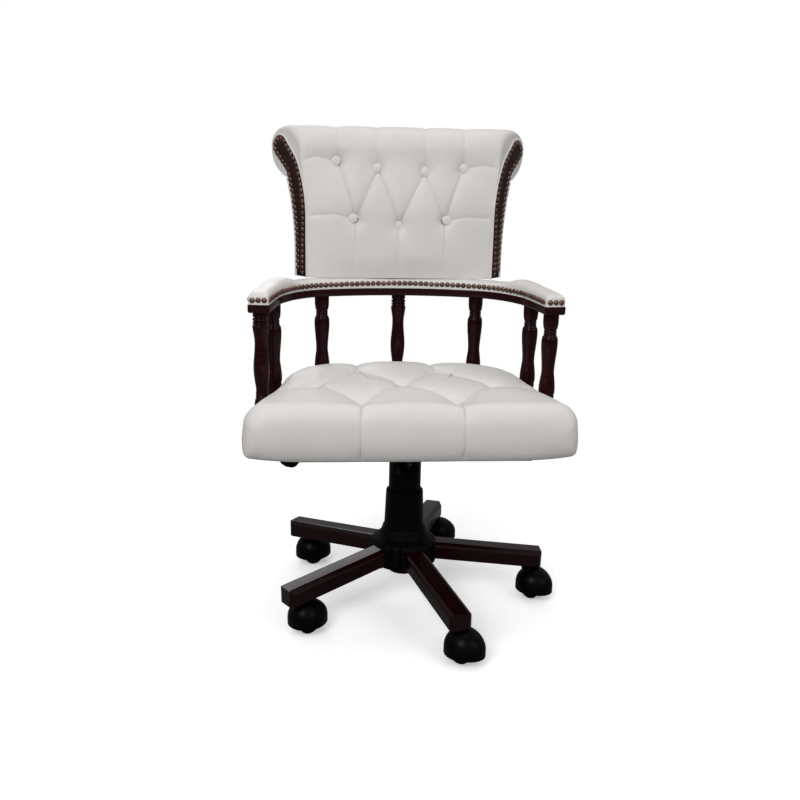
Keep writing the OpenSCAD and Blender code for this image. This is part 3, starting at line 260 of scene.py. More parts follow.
def leatherMaterial(name, tone=(216, 213, 210), shadow=(120, 112, 106)):
    s = Shader(name)
    creaseShade = s.add("ShaderNodeAttribute", attribute_name="creaseShade").outputs["Color"]
    clouds = s.noise(9, 3, 0.55)
    colour = s.blendColour(s.ramp(clouds, [(0.3, 0.0), (0.75, 1.0)]), linear(*tone),
                           linear(*[c - 7 for c in tone]))
    # Painted shade: the crease attribute darkens the leather towards the shadow colour in pits, pleats and
    # creases
    colour = s.blendColour(s.ramp(creaseShade, [(0.25, 0.0), (1.0, 0.75)]), colour, linear(*shadow))
    cells = s.add("ShaderNodeTexVoronoi", feature="DISTANCE_TO_EDGE", Scale=620)
    s.link(s.mapped(), cells.inputs["Vector"])
    grain = s.ramp(cells.outputs["Distance"], [(0.0, 0.0), (0.25, 1.0)])
    folds = s.noise(34, 5, 0.6, distort=0.6)
    fine = s.noise(900, 2, 0.5)
    s.bump([(folds, 0.22, 0.004), (grain, 0.16, 0.0004), (fine, 0.1, 0.0003)])
    s.set(Base_Color=colour, Roughness=s.ramp(folds, [(0.25, 0.4), (0.75, 0.52)]),
          Specular_IOR_Level=0.42)
    return s.material


def woodMaterial(name, turn=(0, 0, 0), deep=(16, 2, 4), light=(42, 6, 9), gloss=0.22, shine=0.14):
    s = Shader(name)
    along = s.mapped(scale=(2.5, 24, 24), turn=turn)
    streaks = s.noise(9, 6, 0.6, along, 0.5)
    pores = s.noise(60, 3, 0.6, s.mapped(scale=(2, 30, 30), turn=turn))
    clouds = s.noise(7, 2)
    colour = s.ramp(streaks, [(0.3, linear(*deep)), (0.62, linear(*light)), (0.8, linear(*deep))])
    colour = s.blendColour(s.ramp(pores, [(0.52, 0.0), (0.7, 0.35)]), colour, linear(10, 2, 4))
    colour = s.blendColour(s.ramp(clouds, [(0.35, 0.0), (0.7, 0.35)]), colour, linear(*deep))
    s.bump([(pores, 0.006, 0.0002), (clouds, 0.03, 0.002)])
    s.set(Base_Color=colour, Roughness=s.ramp(clouds, [(0.3, gloss), (0.7, gloss + 0.1)]),
          Specular_IOR_Level=shine, Coat_Weight=shine, Coat_Roughness=0.1)
    return s.material


def plasticMaterial(name, tone=(3, 3, 4), rough=0.42, grain=700, strength=0.12, sheen=0.05):
    s = Shader(name)
    dust = s.noise(22, 4, 0.6)
    fine = s.noise(grain, 3, 0.6)
    scuffs = s.noise(60, 2, 0.5, s.mapped(scale=(1, 1, 5)))
    colour = s.blendColour(s.ramp(dust, [(0.45, 0.0), (0.8, 0.5)]), linear(*tone),
                           linear(*[c + 6 for c in tone]))
    s.bump([(fine, strength, 0.0004), (dust, 0.05, 0.002)])
    s.set(Base_Color=colour, Roughness=s.ramp(scuffs, [(0.35, rough - 0.07), (0.7, rough + 0.1)]),
          Specular_IOR_Level=sheen)
    return s.material


def metalMaterial(name, tone, rough=0.3, grain=(1, 1, 30), worn=None):
    s = Shader(name)
    lines = s.noise(90, 4, 0.6, s.mapped(scale=grain))
    patch = s.noise(45, 4, 0.6)
    worn = worn or [c * 0.72 for c in tone]
    colour = s.blendColour(s.ramp(patch, [(0.4, 0.0), (0.7, 0.7)]), linear(*tone), linear(*worn))
    s.bump([(lines, 0.06, 0.0004), (patch, 0.05, 0.0008)])
    s.set(Base_Color=colour, Metallic=1.0,
          Roughness=s.ramp(lines, [(0.3, rough - 0.06), (0.7, rough + 0.12)]))
    return s.material


leather = leatherMaterial("offWhiteLeather")
buttonLeather = leatherMaterial("buttonLeather", (220, 217, 213))
woodUpright = woodMaterial("mahoganyUpright", turn=(0, 90, 0), gloss=0.13, shine=0.09)
woodAcross = woodMaterial("mahoganyAcross", gloss=0.18)
woodFacing = woodMaterial("mahoganyFacing", turn=(0, 90, 0), deep=(26, 7, 8), light=(66, 20, 18))
panelDark = woodMaterial("facingPanel", turn=(0, 90, 0), deep=(18, 9, 7), light=(44, 24, 18),
                         gloss=0.4)
legWoods = [woodMaterial("mahoganyLeg%d" % (i + 1), turn=(0, 0, -(215 + 72 * i)), deep=(8, 1, 2),
                         light=(30, 4, 6), gloss=0.16, shine=0.1) for i in range(5)]
plywood = woodMaterial("plywood", deep=(126, 96, 62), light=(172, 138, 96), gloss=0.55)
boardCloth = plasticMaterial("boardCloth", (10, 9, 9), 0.85, 1500, 0.3, 0.05)
blackPlastic = plasticMaterial("blackPlastic")
hoodPlastic = plasticMaterial("hoodNylon", (3, 3, 4), 0.34, 500, 0.07, 0.06)
wheelPlastic = plasticMaterial("wheelNylon", (5, 5, 6), 0.45)
blackMetal = plasticMaterial("powderCoat", (4, 4, 5), 0.5, 1100, 0.25)
bushPlastic = plasticMaterial("bushPlastic", (44, 46, 50), 0.4)
redPlastic = plasticMaterial("redPlastic", (150, 30, 24), 0.35)
steel = metalMaterial("zincSteel", (168, 170, 174), 0.32)
darkSteel = metalMaterial("oiledSteel", (30, 31, 33), 0.4)
bronze = metalMaterial("antiqueBronze", (122, 96, 88), 0.36, (1, 1, 1), (54, 36, 32))

cadMaterials = [
    (blackMetal, "base_hub stand_tube gas_cylinder mechanism_housing tension_spring seat_plate"),
    (steel, "leg_bolts caster_stems piston_rod retaining_clip pivot_pin frame_bolts"),
    (blackPlastic, "lower_column_cover middle_column_cover upper_column_cover height_lever tension_knob"),
    (darkSteel, "thrust_bearing spring_washer"),
    (bushPlastic, "guide_bush"),
    (redPlastic, "valve_button"),
    (boardCloth, "seat_board"),
    (woodAcross, "seat_frame"),
    (plywood, "back_frame"),
]
cadMaterials += [(wheelPlastic, "wheel_left_%d wheel_right_%d" % (i, i)) for i in range(1, 6)]
for material, names in cadMaterials:
    for nodeName in names.split():
        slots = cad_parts[nodeName].data.materials
        slots.clear()
        slots.append(material)
print("materials made")


# The bow that the arm rail, its pad and the posts follow

bow = {"backR": 534, "cornerR": 154, "backY": 251, "armFront": 6, "flare": 8, "arc": 17}
bow["turn"] = 90 - bow["flare"]
bow["backL"] = bow["backR"] * math.radians(bow["arc"])
bow["cornerL"] = bow["cornerR"] * math.radians(bow["turn"] - bow["arc"])
bow["cx"] = (bow["backR"] - bow["cornerR"]) * math.sin(math.radians(bow["arc"]))
bow["cy"] = (bow["backY"] - bow["backR"]
             + (bow["backR"] - bow["cornerR"]) * math.cos(math.radians(bow["arc"])))
bow["armX"] = bow["cx"] + bow["cornerR"] * math.sin(math.radians(bow["turn"]))
bow["armY"] = bow["cy"] + bow["cornerR"] * math.cos(math.radians(bow["turn"]))
bow["length"] = (bow["backL"] + bow["cornerL"]
                 + (bow["armY"] + bow["armFront"]) / math.sin(math.radians(bow["turn"])))


def bowAngle(s):
    q = np.abs(s)
    corner = bow["arc"] + np.degrees((q - bow["backL"]) / bow["cornerR"])
    return np.where(q < bow["backL"], np.degrees(q / bow["backR"]),
                    np.where(q < bow["backL"] + bow["cornerL"], corner, bow["turn"]))


def bowAt(s, out=0):
    s = np.asarray(s, float)
    q = np.abs(s)
    a = np.radians(bowAngle(s))
    past = q - bow["backL"] - bow["cornerL"]
    x = np.where(q < bow["backL"], bow["backR"] * np.sin(a),
                 np.where(past < 0, bow["cx"] + bow["cornerR"] * np.sin(a), bow["armX"] + past * np.cos(a)))
    y = np.where(q < bow["backL"], bow["backY"] - bow["backR"] + bow["backR"] * np.cos(a),
                 np.where(past < 0, bow["cy"] + bow["cornerR"] * np.cos(a), bow["armY"] - past * np.sin(a)))
    return np.where(s < 0, -1, 1) * (x + out * np.sin(a)), y + out * np.cos(a)


def railIn(s):
    return mix(24, 18, (np.abs(s) - 280) / 80)


def railOut(s):
    return mix(30, 24, (np.abs(s) - 100) / 150)


# Seat cushion

seat = {"frontX": 297, "shift": 4, "frontY": 202, "height": 112, "corner": 34, "noseUp": 46,
        "dx": 160, "dy": 97, "tuftFront": 139, "frame": 18, "clear": 3.5, "rows": 190, "across": 201,
        "noseRows": 56, "noseDepth": 60, "wallCols": 13, "bulge": 2.6,
        "pleatFrom": 0.27, "pleatTo": 0.36, "pleatCols": 34, "sag": 8.5, "ripple": 0.45}
seat["rearY"] = bow["backY"] - seat["frame"] - seat["clear"]
tuftRows = (-seat["tuftFront"], seat["dy"] - seat["tuftFront"] - 4, 2 * seat["dy"] - seat["tuftFront"])
tuftShares = ((-0.55, 0.54), (-1.12, -0.06, 1.03), (-0.56, 0.38))
tufts = [(x * seat["dx"], y) for y, row in zip(tuftRows, tuftShares) for x in row]
seatPleats = [(a, b) for n, a in enumerate(tufts) for b in tufts[n + 1:]
              if abs(a[0] - b[0]) < seat["dx"] * 0.7 and abs(abs(a[1] - b[1]) - seat["dy"]) < 5]
seatPleats += [(tufts[n], (tufts[n][0] * 1.05, bow["backY"])) for n in (5, 6)]
frontPleats = [(tufts[n], (tufts[n][0] * 1.05, -seat["frontY"] - 5)) for n in (0, 1)]
sidePleats = [(tufts[2], (-330, -75)), (tufts[4], (330, -75))]
cornerPleats = [((x * 262, -150), (x * 330, -196)) for x in (-1, 1)]
# Lines, then the depth and width of each dent along them, and the strength and width of the shade painted
# along them
seatMarks = [([(t, t) for t in tufts], [(19, 15)], (0.75, 9)),
             (seatPleats, [(3.2, 5), (7, 22)], (0.5, 2.2)),
             (frontPleats, [(3.2, 2.4), (2.6, 15)], (0.55, 1.6)),
             (sidePleats + cornerPleats, [(2.6, 4.5)], (0.4, 1.8))]


def cushionHalf(y):
    backC = bow["backY"] - bow["backR"]
    innerBack, innerCorner = bow["backR"] - 18, bow["cornerR"] - 18
    arc, turn = math.radians(bow["arc"]), math.radians(bow["turn"])
    yArc = backC + innerBack * math.cos(arc)
    yArm = bow["cy"] + innerCorner * math.cos(turn)
    xArm = bow["cx"] + innerCorner * math.sin(turn)
    yEnd = -bow["armFront"]
    side = float(bowAt(bow["length"], -18)[0])
    back = np.sqrt(np.maximum(innerBack ** 2 - (y - backC) ** 2, 0))
    corner = bow["cx"] + np.sqrt(np.maximum(innerCorner ** 2 - (y - bow["cy"]) ** 2, 0))
    arm = xArm + (yArm - y) * math.tan(math.radians(bow["flare"]))
    frontY = seat["corner"] - seat["frontY"]
    t = np.minimum((yEnd - y) / (yEnd - frontY), 1)
    d = np.maximum(frontY - y, 0)
    front = (side + (seat["frontX"] - side) * t - seat["corner"]
             + np.sqrt(np.maximum(seat["corner"] ** 2 - d ** 2, 0)))
    return np.where(y > yArc, back, np.where(y > yArm, corner, np.where(y > yEnd, arm, front)))


def marks(x, y, table):
    # How far the leather sinks at its marks, and how much shade is painted there
    sink = paintedShade = 0
    for lines, dents, (shadeStrength, shadeWidth) in table:
        near = np.min([toStretch(x, y, a, b) for a, b in lines], axis=0)
        for depth, width in dents:
            sink = sink + depth * np.exp(-near / width)
        paintedShade = paintedShade + shadeStrength * np.exp(-near / shadeWidth)
    return sink, paintedShade


def ripple(x, y, seed):
    rng = np.random.default_rng(seed)
    total = np.zeros_like(x)
    for _ in range(14):
        size = rng.uniform(28, 95)
        turn = rng.uniform(0, 2 * math.pi)
        along = (x * math.cos(turn) + y * math.sin(turn)) / size
        total += np.sin(along * 2 * math.pi + rng.uniform(0, 6.3)) * size / 95
    return total / 6


def displace(points, rows, cols, closed, amount):
    grid = points.reshape(rows, cols, 3)
    across = np.roll(grid, -1, 1) - np.roll(grid, 1, 1)
    if not closed:
        across[:, 0] = grid[:, 1] - grid[:, 0]
        across[:, -1] = grid[:, -1] - grid[:, -2]
    along = np.gradient(grid, axis=0)
    normal = np.cross(across, along)
    normal /= np.maximum(np.linalg.norm(normal, axis=2, keepdims=True), 1e-9)
    return (grid + normal * amount.reshape(rows, cols, 1)).reshape(-1, 3)


def fromRear(x, y):
    # Distance in from the rear edge: the arc across the back, or the corner beside it
    inset = seat["frame"] + seat["clear"]
    centreY = bow["backY"] - bow["backR"]
    rear = bow["backR"] - inset - np.hypot(x, y - centreY)
    corner = bow["cornerR"] - inset - np.hypot(np.abs(x) - bow["cx"], y - bow["cy"])
    beyond = np.degrees(np.arctan2(np.abs(x), y - centreY)) > bow["arc"]
    facing = np.degrees(np.arctan2(np.abs(x) - bow["cx"], y - bow["cy"]))
    beside = np.where((facing > bow["arc"]) & (facing < 90), corner, seat["height"])
    return np.maximum(np.where(beyond, beside, rear), 0)


def makeSeat():
    depth = seat["rearY"] + seat["frontY"]
    nose = seat["noseDepth"] * (1 - np.cos(np.linspace(0, math.pi / 2, seat["noseRows"])))
    tail = depth - np.array([11, 8.5, 6, 4, 2.5, 1.2, 0.4, 0])
    restRows = seat["rows"] - len(nose) - len(tail)
    rest = np.linspace(seat["noseDepth"], depth - 14, restRows + 1)[1:]
    d = np.concatenate([nose, rest, tail])[:, None]
    y = d - seat["frontY"]
    left = depth - d
    half = cushionHalf(y) - 0.3
    rimFull, rimRear = 0.55 * seat["height"], 0.44 * seat["height"]
    rim = np.where(d < 16, seat["noseUp"] + (rimFull - seat["noseUp"]) * quarter(d / 16),
                   mix(rimFull, rimRear, (d - 30) / 110)) - 5 * (left < 2)
    crown = mix(0.91, 1, (d - 30) / 110) - 0.05 * soft((d - 260) / 120)
    top = rim + (crown * seat["height"] - rim) * quarter(d / 36)
    low = seat["noseUp"] - seat["noseUp"] * quarter(d / 24) + 6 * (left < 2)
    free = 1 - soft((d - 36) / 10)
    sideLow = low + 3 * free * quarter(d / 20)
    framed = soft((d - 150) / 40)
    belly = sideLow + 0.5 * (rim - sideLow) + framed * (33 - 0.5 * (rim - sideLow))
    bulge = seat["bulge"] * np.clip(d / 6, 0, 1) * (left > 2)

    u = np.sin(np.linspace(-math.pi / 2, math.pi / 2, seat["across"]))
    close = np.linspace(seat["pleatFrom"], seat["pleatTo"], seat["pleatCols"])  # round the front pleats
    u = np.sort(np.concatenate([u, close, -close]))
    columns = len(u)
    u = u[None, :]
    wide = soft(d / 150)
    away = half * (1 - np.abs(u))
    topX = u * half
    edge = np.minimum(away, fromRear(topX, y))
    rounding = ((1 - wide) * quarter(away / 44)
                + wide * (0.57 * quarter(edge / 34) + 0.43 * parabola(edge / 150)))
    topZ = rim + (top - rim) * rounding

    wall = np.linspace(0, 1, seat["wallCols"] + 2)[1:-1][None, :]
    wallZ = np.where(wall < 0.5, rim + (belly - rim) * wall * 2,
                     belly + (sideLow - belly) * (wall * 2 - 1))
    overFrame = 1 - framed * (1 - np.clip((wallZ - 28.4) / 3, 0, 1))
    wallX = (half + bulge * np.sin(math.pi * wall) * overFrame
             - 4 * np.clip((wall - 0.82) / 0.18, 0, 1) ** 2)
    under = u[:, ::-1]
    underX = (half - 6 * quarter(d / 20)) * under
    underZ = sideLow - seat["sag"] * free * (1 - under ** 6) * quarter(d / 20)

    x = np.concatenate([topX, wallX, underX, -wallX[:, ::-1]], 1)
    z = np.concatenate([topZ, wallZ, underZ, wallZ[:, ::-1]], 1)
    yy = np.broadcast_to(y, x.shape)
    rows, cols = x.shape
    underFrom, underTo = columns + seat["wallCols"], cols - seat["wallCols"]
    fade = np.clip(left / 26, 0, 1) * np.ones_like(x)
    fade[:, columns:] *= soft(z[:, columns:] / 60)
    fade[:, underFrom:underTo] = soft(1.25 - d / 20)  # the pleats run on under the nose
    inFrame = (framed > 0.02) & (np.arange(cols)[None, :] >= columns)
    fade = np.where(inFrame, 0, fade)
    edgeFade = np.ones_like(x)
    edgeFade[:, :columns] = np.where(framed > 0.02, np.clip(away / 26, 0, 1), 1)

    # Painted shade in the tuft pits and along the pleats, kept as a vertex colour on the leather
    sink, paintedShade = marks(x, yy, seatMarks)
    paintedShade = np.clip(paintedShade, 0, 1) * fade
    sink = sink * fade * edgeFade * soft(d / 22 + 0.45)
    sink += seat["ripple"] * ripple(x, yy + z * 0.8, 3) * fade * edgeFade
    shift = -seat["shift"] * soft(-yy / 90)
    points = np.stack([x + shift, yy, z + level["seatFrame"]], 2).reshape(-1, 3)
    points = displace(points, rows, cols, True, -np.maximum(sink, -0.8).ravel())
    points[:, 2] = np.maximum(points[:, 2], level["seatFrame"] - seat["sag"] + 2)
    # The nose line is one row of points, shared by the top and the underside
    points[columns:underFrom] = points[columns - 1]
    points[underFrom:underTo] = points[:columns][::-1]
    points[underTo:cols] = points[0]
    faces = gridFaces(rows, cols, True)
    faces.append(tuple(range((rows - 1) * cols, rows * cols)))
    obj = piece("seatCushion", points, faces, "seat", leather, ["seat_cushion"], 80)
    paintCreaseShade(obj, points, paintedShade.ravel())


makeSeat()
print("seat made")


# Back: the core's outline and the leather over it, as lengths along a facing (s) and heights

back = {"z": level["back"], "top": level["backTop"], "x": 199, "y": 236, "angle": 42, "facingT": 16,
        "facingW": 31, "headR": 23, "headS": 80, "bendR": 253, "bendZ": level["back"] + 124,
        "rollS": 64, "rollRs": 51, "rollRz": 50, "crown": 12, "tuckZ": level["back"] + 202,
        "frontRows": 150, "rollRows": 90, "across": 221, "capSteps": 9, "edge": 9, "footRound": 8,
        "ripple": 0.4, "unrolled": 260}  # length up the front at which the roll starts
back["headZ"] = back["top"] - 20 - back["headR"] - 1
back["rollZ"] = back["top"] - back["rollRz"]
back["squash"] = math.cos(math.radians(back["angle"]))
back["flare"] = math.tan(math.radians(back["angle"]))
buttonsTop = [(-135, 239), (-50, 227), (51, 221), (133, 228)]
buttonsLow = [(-100, 123), (-4, 112), (98, 121)]
buttons = buttonsTop + buttonsLow


def backHalf(y):
    return back["x"] + (y - back["y"]) * back["flare"]


def depthAt(s):
    # Depth in the chair of a length s along a facing, and back again
    return back["y"] + back["squash"] * s


def alongFacing(y):
    return (y - back["y"]) / back["squash"]


def coreFront(z):
    rise = np.maximum(z - back["bendZ"], 0)
    return depthAt(back["bendR"] - np.sqrt(np.maximum(back["bendR"] ** 2 - rise ** 2, 1)))


def coreRear(z):
    return depthAt(back["facingW"] + 19 * (np.maximum(z - back["z"] - 49, 0) / 138) ** 2)


def headArc(degrees, inset=0):
    # Round the core's head, as [s, z]
    r = back["headR"] - inset
    return [(back["headS"] + r * math.cos(a), back["headZ"] + r * math.sin(a)) for a in np.radians(degrees)]


def rollPoint(a):
    return (depthAt(back["rollS"] + back["rollRs"] * np.cos(np.radians(a))),
            back["rollZ"] + back["rollRz"] * np.sin(np.radians(a)))


def leatherFront(z):
    return mix(back["y"] - 2, rollPoint(180)[0], (z - back["bendZ"]) / (back["rollZ"] - back["bendZ"]))


# Core outline from the foot up the front, round the head and in to the tuck
tuckLine = [(74, back["z"] + 229), (62, back["z"] + 217), (55, back["tuckZ"])]
coreLine = [(coreFront(z), z) for z in np.linspace(back["z"], back["z"] + 240, 60)]
coreLine += [(depthAt(s), z) for s, z in headArc(np.linspace(150, -50, 50)) + tuckLine]
coreLine = np.array(coreLine)
rearLine = np.array([(coreRear(z), z) for z in np.linspace(back["z"], back["z"] + 170, 30)]
                    + [(depthAt(tuckLine[-1][0]), back["tuckZ"])])


def backMarks():
    lines = [(b, (b[0] * 1.04, back["unrolled"] + 150)) for b in buttonsTop]
    lines += [(b, (b[0] * 1.02, -20)) for b in buttonsLow]
    vees = [(buttonsLow[n], buttonsTop[n + k]) for k in (0, 1) for n in range(len(buttonsLow))]
    sides = []
    for b, way in ((buttonsTop[0], -1), (buttonsLow[0], -1), (buttonsTop[3], 1), (buttonsLow[2], 1)):
        mid = (b[0] + way * 45, b[1] + 9)
        end = (b[0] + way * 130, b[1] + (4 if b[1] < 200 else -18))
        sides += [(b, mid), (mid, end)]
    # As in seatMarks
    return [([(b, b) for b in buttons], [(11.5, 13)], (0.7, 8)),
            (lines, [(1.5, 2.6), (1.6, 13)], (0.5, 1.3)),
            (vees, [(2.2, 3.6), (4.2, 17)], (0.5, 2)),
            (sides, [(1.5, 3), (2.4, 14)], (0.45, 1.5))]


def makeBack():
    frontRows, rollRows = back["frontRows"], back["rollRows"]
    zs = np.linspace(back["z"] - 0.5, back["rollZ"], frontRows)
    line = [(leatherFront(z), z, z - back["z"]) for z in zs]
    arc = math.hypot(back["rollRs"] * back["squash"], back["rollRz"]) / math.sqrt(2) * math.radians(1)
    line += [(*rollPoint(a), back["unrolled"] + (180 - a) * arc) for a in np.linspace(178, -70, rollRows)]
    line = np.array(line)
    rows = len(line)
    core = np.concatenate([
        np.array([(coreFront(z), z) for z in np.linspace(back["z"] - 0.5, back["z"] + 228, frontRows)]),
        resample(coreLine[57:], rollRows)])

    u = np.linspace(-1, 1, back["across"])[None, :]
    y0, z0, w = line[:, 0:1], line[:, 1:2], line[:, 2:3]
    isFront = np.where(np.arange(rows)[:, None] < frontRows, 1.0, 0.0)
    near = isFront + (1 - isFront) * soft((rollPoint(90)[0] + 12 - y0) / 30)
    half0 = backHalf(y0)
    swell = (back["crown"] * (1 - np.abs(u) ** 3) * soft((z0 - back["z"]) / 70 + 0.25)
             * (1 - 0.6 * soft((z0 - back["bendZ"]) / 190))) * near
    # Edges round over towards the facings
    away = (1 - np.abs(u)) * half0
    edge = back["edge"] * (1 - quarter(away / 16))
    toCore = core - line[:, :2]
    size = np.maximum(np.linalg.norm(toCore, axis=1, keepdims=True), 1e-6)
    way = toCore / size
    limit = np.minimum(edge, size * 0.9)
    y = y0 - swell + way[:, 0:1] * limit
    z = z0 + way[:, 1:2] * limit * np.ones_like(u)
    footRound = back["footRound"] * (1 - quarter((z0 - zs[0]) / 10)) * isFront
    x = u * (backHalf(y) - footRound)

    xu = u * half0
    # Painted shade round the buttons and along the pleats, kept as a vertex colour on the leather
    sink, paintedShade = marks(xu, w, backMarks())
    down = np.clip(w / 40, 0, 1)
    fade = np.clip(away / 12, 0, 1)
    paintedShade = np.clip(paintedShade * fade, 0, 1)
    sink = (sink * (0.35 + 0.65 * down) + back["ripple"] * ripple(xu, w, 11)) * fade
    points = np.stack([x, y, z], 2).reshape(-1, 3)
    points = displace(points, rows, u.shape[1], False, -sink.ravel())
    grid = points.reshape(rows, -1, 3)

    # Side caps from the rounded edge in to the core's outline, with small gathers round the roll
    steps = back["capSteps"]
    caps = []
    folds = 0.36 * np.sin(np.arange(rows) * 0.55) * soft((np.arange(rows) - frontRows + 10) / 20)
    t = np.linspace(0, 1, steps + 1)[1:, None]
    for sign, column in ((-1, 0), (1, -1)):
        outer = grid[:, column]
        inner = np.stack([sign * backHalf(core[:, 0]), core[:, 0], core[:, 1]], 1)
        strip = outer[None] + (inner - outer)[None] * t[:, :, None]
        strip[:, :, 0] -= sign * np.abs(np.sin(t * math.pi) * (0.4 + folds[None]))
        caps.append(strip)
    left = np.transpose(caps[0], (1, 0, 2))[:, ::-1]
    right = np.transpose(caps[1], (1, 0, 2))
    full = np.concatenate([left, grid, right], 1)
    points = full.reshape(-1, 3)
    faces = cappedFaces(rows, full.shape[1])
    obj = piece("backCushion", points, faces, "seat", leather, ["back_cushion"], 75)
    plain = np.zeros((rows, steps))
    paintCreaseShade(obj, points, np.concatenate([plain, paintedShade, plain], 1).ravel())
    return grid


backGrid = makeBack()
print("back made")


def surfaceAt(x, h):
    # Point of the back's leather nearest to an x and a height over the foot
    flat = backGrid[:back["frontRows"]].reshape(-1, 3)
    near = np.argmin((flat[:, 0] - x) ** 2 + (flat[:, 2] - back["z"] - h) ** 2)
    return flat[near]


def lathe(profile, sides):
    ring = np.radians(np.arange(sides) * 360 / sides)
    points = [(r * math.cos(a), r * math.sin(a), z) for r, z in profile for a in ring]
    faces = gridFaces(len(profile), sides, True)
    faces.append(tuple(range(sides))[::-1])
    faces.append(tuple(range((len(profile) - 1) * sides, len(profile) * sides)))
    return np.array(points), faces


def gather(parts):
    points, faces = [], []
    for p, f in parts:
        start = sum(len(q) for q in points)
        points.append(np.asarray(p))
        faces += [tuple(start + k for k in face) for face in f]
    return np.concatenate(points), faces


button = {"r": 10.5, "sunk": 2.4}


def makeButtons():
    r = button["r"]
    profile = [(r * 0.8, -3), (r * 0.95, 0), (r, 1.6)]
    profile += [(r * math.cos(a) ** 0.8, 1.8 + 4.6 * math.sin(a)) for a in np.linspace(0.1, 1.5, 12)]
    profile += [(0.15, 6.45)]
    parts = []
    for x, h in buttons:
        centre = surfaceAt(x, h)
        p, f = lathe(profile, 40)
        wrinkle = 0.12 * np.sin(np.arctan2(p[:, 1], p[:, 0]) * 9) * (p[:, 2] > 0.5)
        p[:, 2] += wrinkle
        turned = np.stack([p[:, 0], -p[:, 2], p[:, 1]], 1)
        parts.append((turned + centre + np.array([0, -button["sunk"], 0]), f))
    p, f = gather(parts)
    piece("backButtons", p, f, "seat", buttonLeather, ["back_buttons"], 60)


makeButtons()
print("buttons made")


# Facings: an outline in its own upright plane, as [s, z]

def facingOutline(inset=0):
    front = [(alongFacing(coreFront(z)), z) for z in np.linspace(back["z"], back["z"] + 246, 50)]
    head = headArc(np.linspace(150, -50, 30))
    rear = [(alongFacing(coreRear(z)), z) for z in np.linspace(back["z"] + 170, back["z"], 30)]
    loop = resample(np.array(front + head + tuckLine + rear + [front[0]]), 261)[:-1]
    if not inset:
        return loop
    ahead = np.roll(loop, -1, 0) - np.roll(loop, 1, 0)
    normal = np.stack([ahead[:, 1], -ahead[:, 0]], 1) / np.linalg.norm(ahead, axis=1, keepdims=True)
    return loop + normal * inset


def onFacing(loop, out, sign):
    sin, cos = math.sin(math.radians(back["angle"])), math.cos(math.radians(back["angle"]))
    x = back["x"] + loop[:, 0] * sin + out * cos
    y = back["y"] + loop[:, 0] * cos - out * sin
    return np.stack([sign * x, y, loop[:, 1]], 1)


# Inset and height of each ring round the wood and round the dark panel on it
facing = {"wood": [(0.5, -1.6), (0, -1.6), (0.5, -0.6), (1.6, 0)],
          "panel": [(7.4, -1), (7.4, 0.35), (8.2, 0.9), (9.5, 1.1)]}
facing["inward"] = (back["facingT"] + facing["wood"][0][1]) / back["squash"]


def facingPiece(name, rings, material, replaced):
    faces = cappedFaces(len(rings), len(rings[0]))
    piece(name, np.concatenate(rings), faces, "seat", material, replaced, 40)


def makeFacings():
    for sign, word in ((-1, "Right"), (1, "Left")):
        wood, panel = ([onFacing(facingOutline(i), out, sign) for i, out in facing[part]]
                       for part in ("wood", "panel"))
        wood[0][:, 0] -= sign * facing["inward"]  # straight across, so that it stays in the roll
        facingPiece("facing" + word, wood, woodFacing, ["back_facings"] if sign < 0 else ())
        facingPiece("facingPanel" + word, panel, panelDark, ())


makeFacings()


def tube(path, radius, sides=10):
    path = np.asarray(path, float)
    along = np.gradient(path, axis=0)
    along /= np.linalg.norm(along, axis=1, keepdims=True)
    up = np.array([0.13, -0.4, 0.91])
    a = np.cross(along, up)
    a /= np.linalg.norm(a, axis=1, keepdims=True)
    b = np.cross(along, a)
    ring = np.radians(np.arange(sides) * 360 / sides)
    points = (path[:, None] + radius * (a[:, None] * np.cos(ring)[None, :, None]
                                        + b[:, None] * np.sin(ring)[None, :, None]))
    return points.reshape(-1, 3), cappedFaces(len(path), sides)


piping = {"r": 2.4, "outside": 1.6, "sunk": 1.2, "points": 150}  # it ends where the roll tucks in


def makePiping():
    parts = []
    for sign in (-1, 1):
        loop = facingOutline(-piping["outside"])[:piping["points"]]
        parts.append(tube(onFacing(loop, -piping["sunk"], sign), piping["r"]))
    p, f = gather(parts)
    piece("backPiping", p, f, "seat", leather, (), 60)


makePiping()


cover = {"rows": 60, "cols": 120, "t": 4, "crown": 1.6, "ripple": 0.15, "rowStep": 3.2}


def makeCover():
    rows, cols = cover["rows"], cover["cols"]
    line = resample(rearLine, rows)
    u = np.linspace(-1, 1, cols)[None, :]
    y0 = line[:, 0:1] * np.ones_like(u)
    z = line[:, 1:2] * np.ones_like(u)
    half = backHalf(y0 + cover["t"])
    row = np.arange(rows)[:, None]
    fromEnds = np.minimum(row, rows - 1 - row) * cover["rowStep"]
    edge = np.minimum((1 - np.abs(u)) * half, fromEnds)
    y = (y0 + cover["t"] * quarter(edge / 9) + cover["crown"] * soft(edge / 60)
         + cover["ripple"] * ripple(u * half, z, 5))
    x = u * (half - 0.3)
    outer = np.stack([x, y, z], 2)
    inner = np.stack([x, y0, z], 2)
    points = np.concatenate([outer.reshape(-1, 3), inner.reshape(-1, 3)])
    faces = gridFaces(rows, cols) + gridFaces(rows, cols, start=rows * cols)
    rim = ([(0, j) for j in range(cols)] + [(i, cols - 1) for i in range(1, rows)]
           + [(rows - 1, j) for j in range(cols - 2, -1, -1)] + [(i, 0) for i in range(rows - 2, 0, -1)])
    index = [i * cols + j for i, j in rim]
    for a, b in zip(index, index[1:] + index[:1]):
        faces.append((a, b, b + rows * cols, a + rows * cols))
    obj = piece("backCover", points, faces, "seat", leather, ["back_cover"], 50)


makeCover()
print("facings and cover made")


# Arms

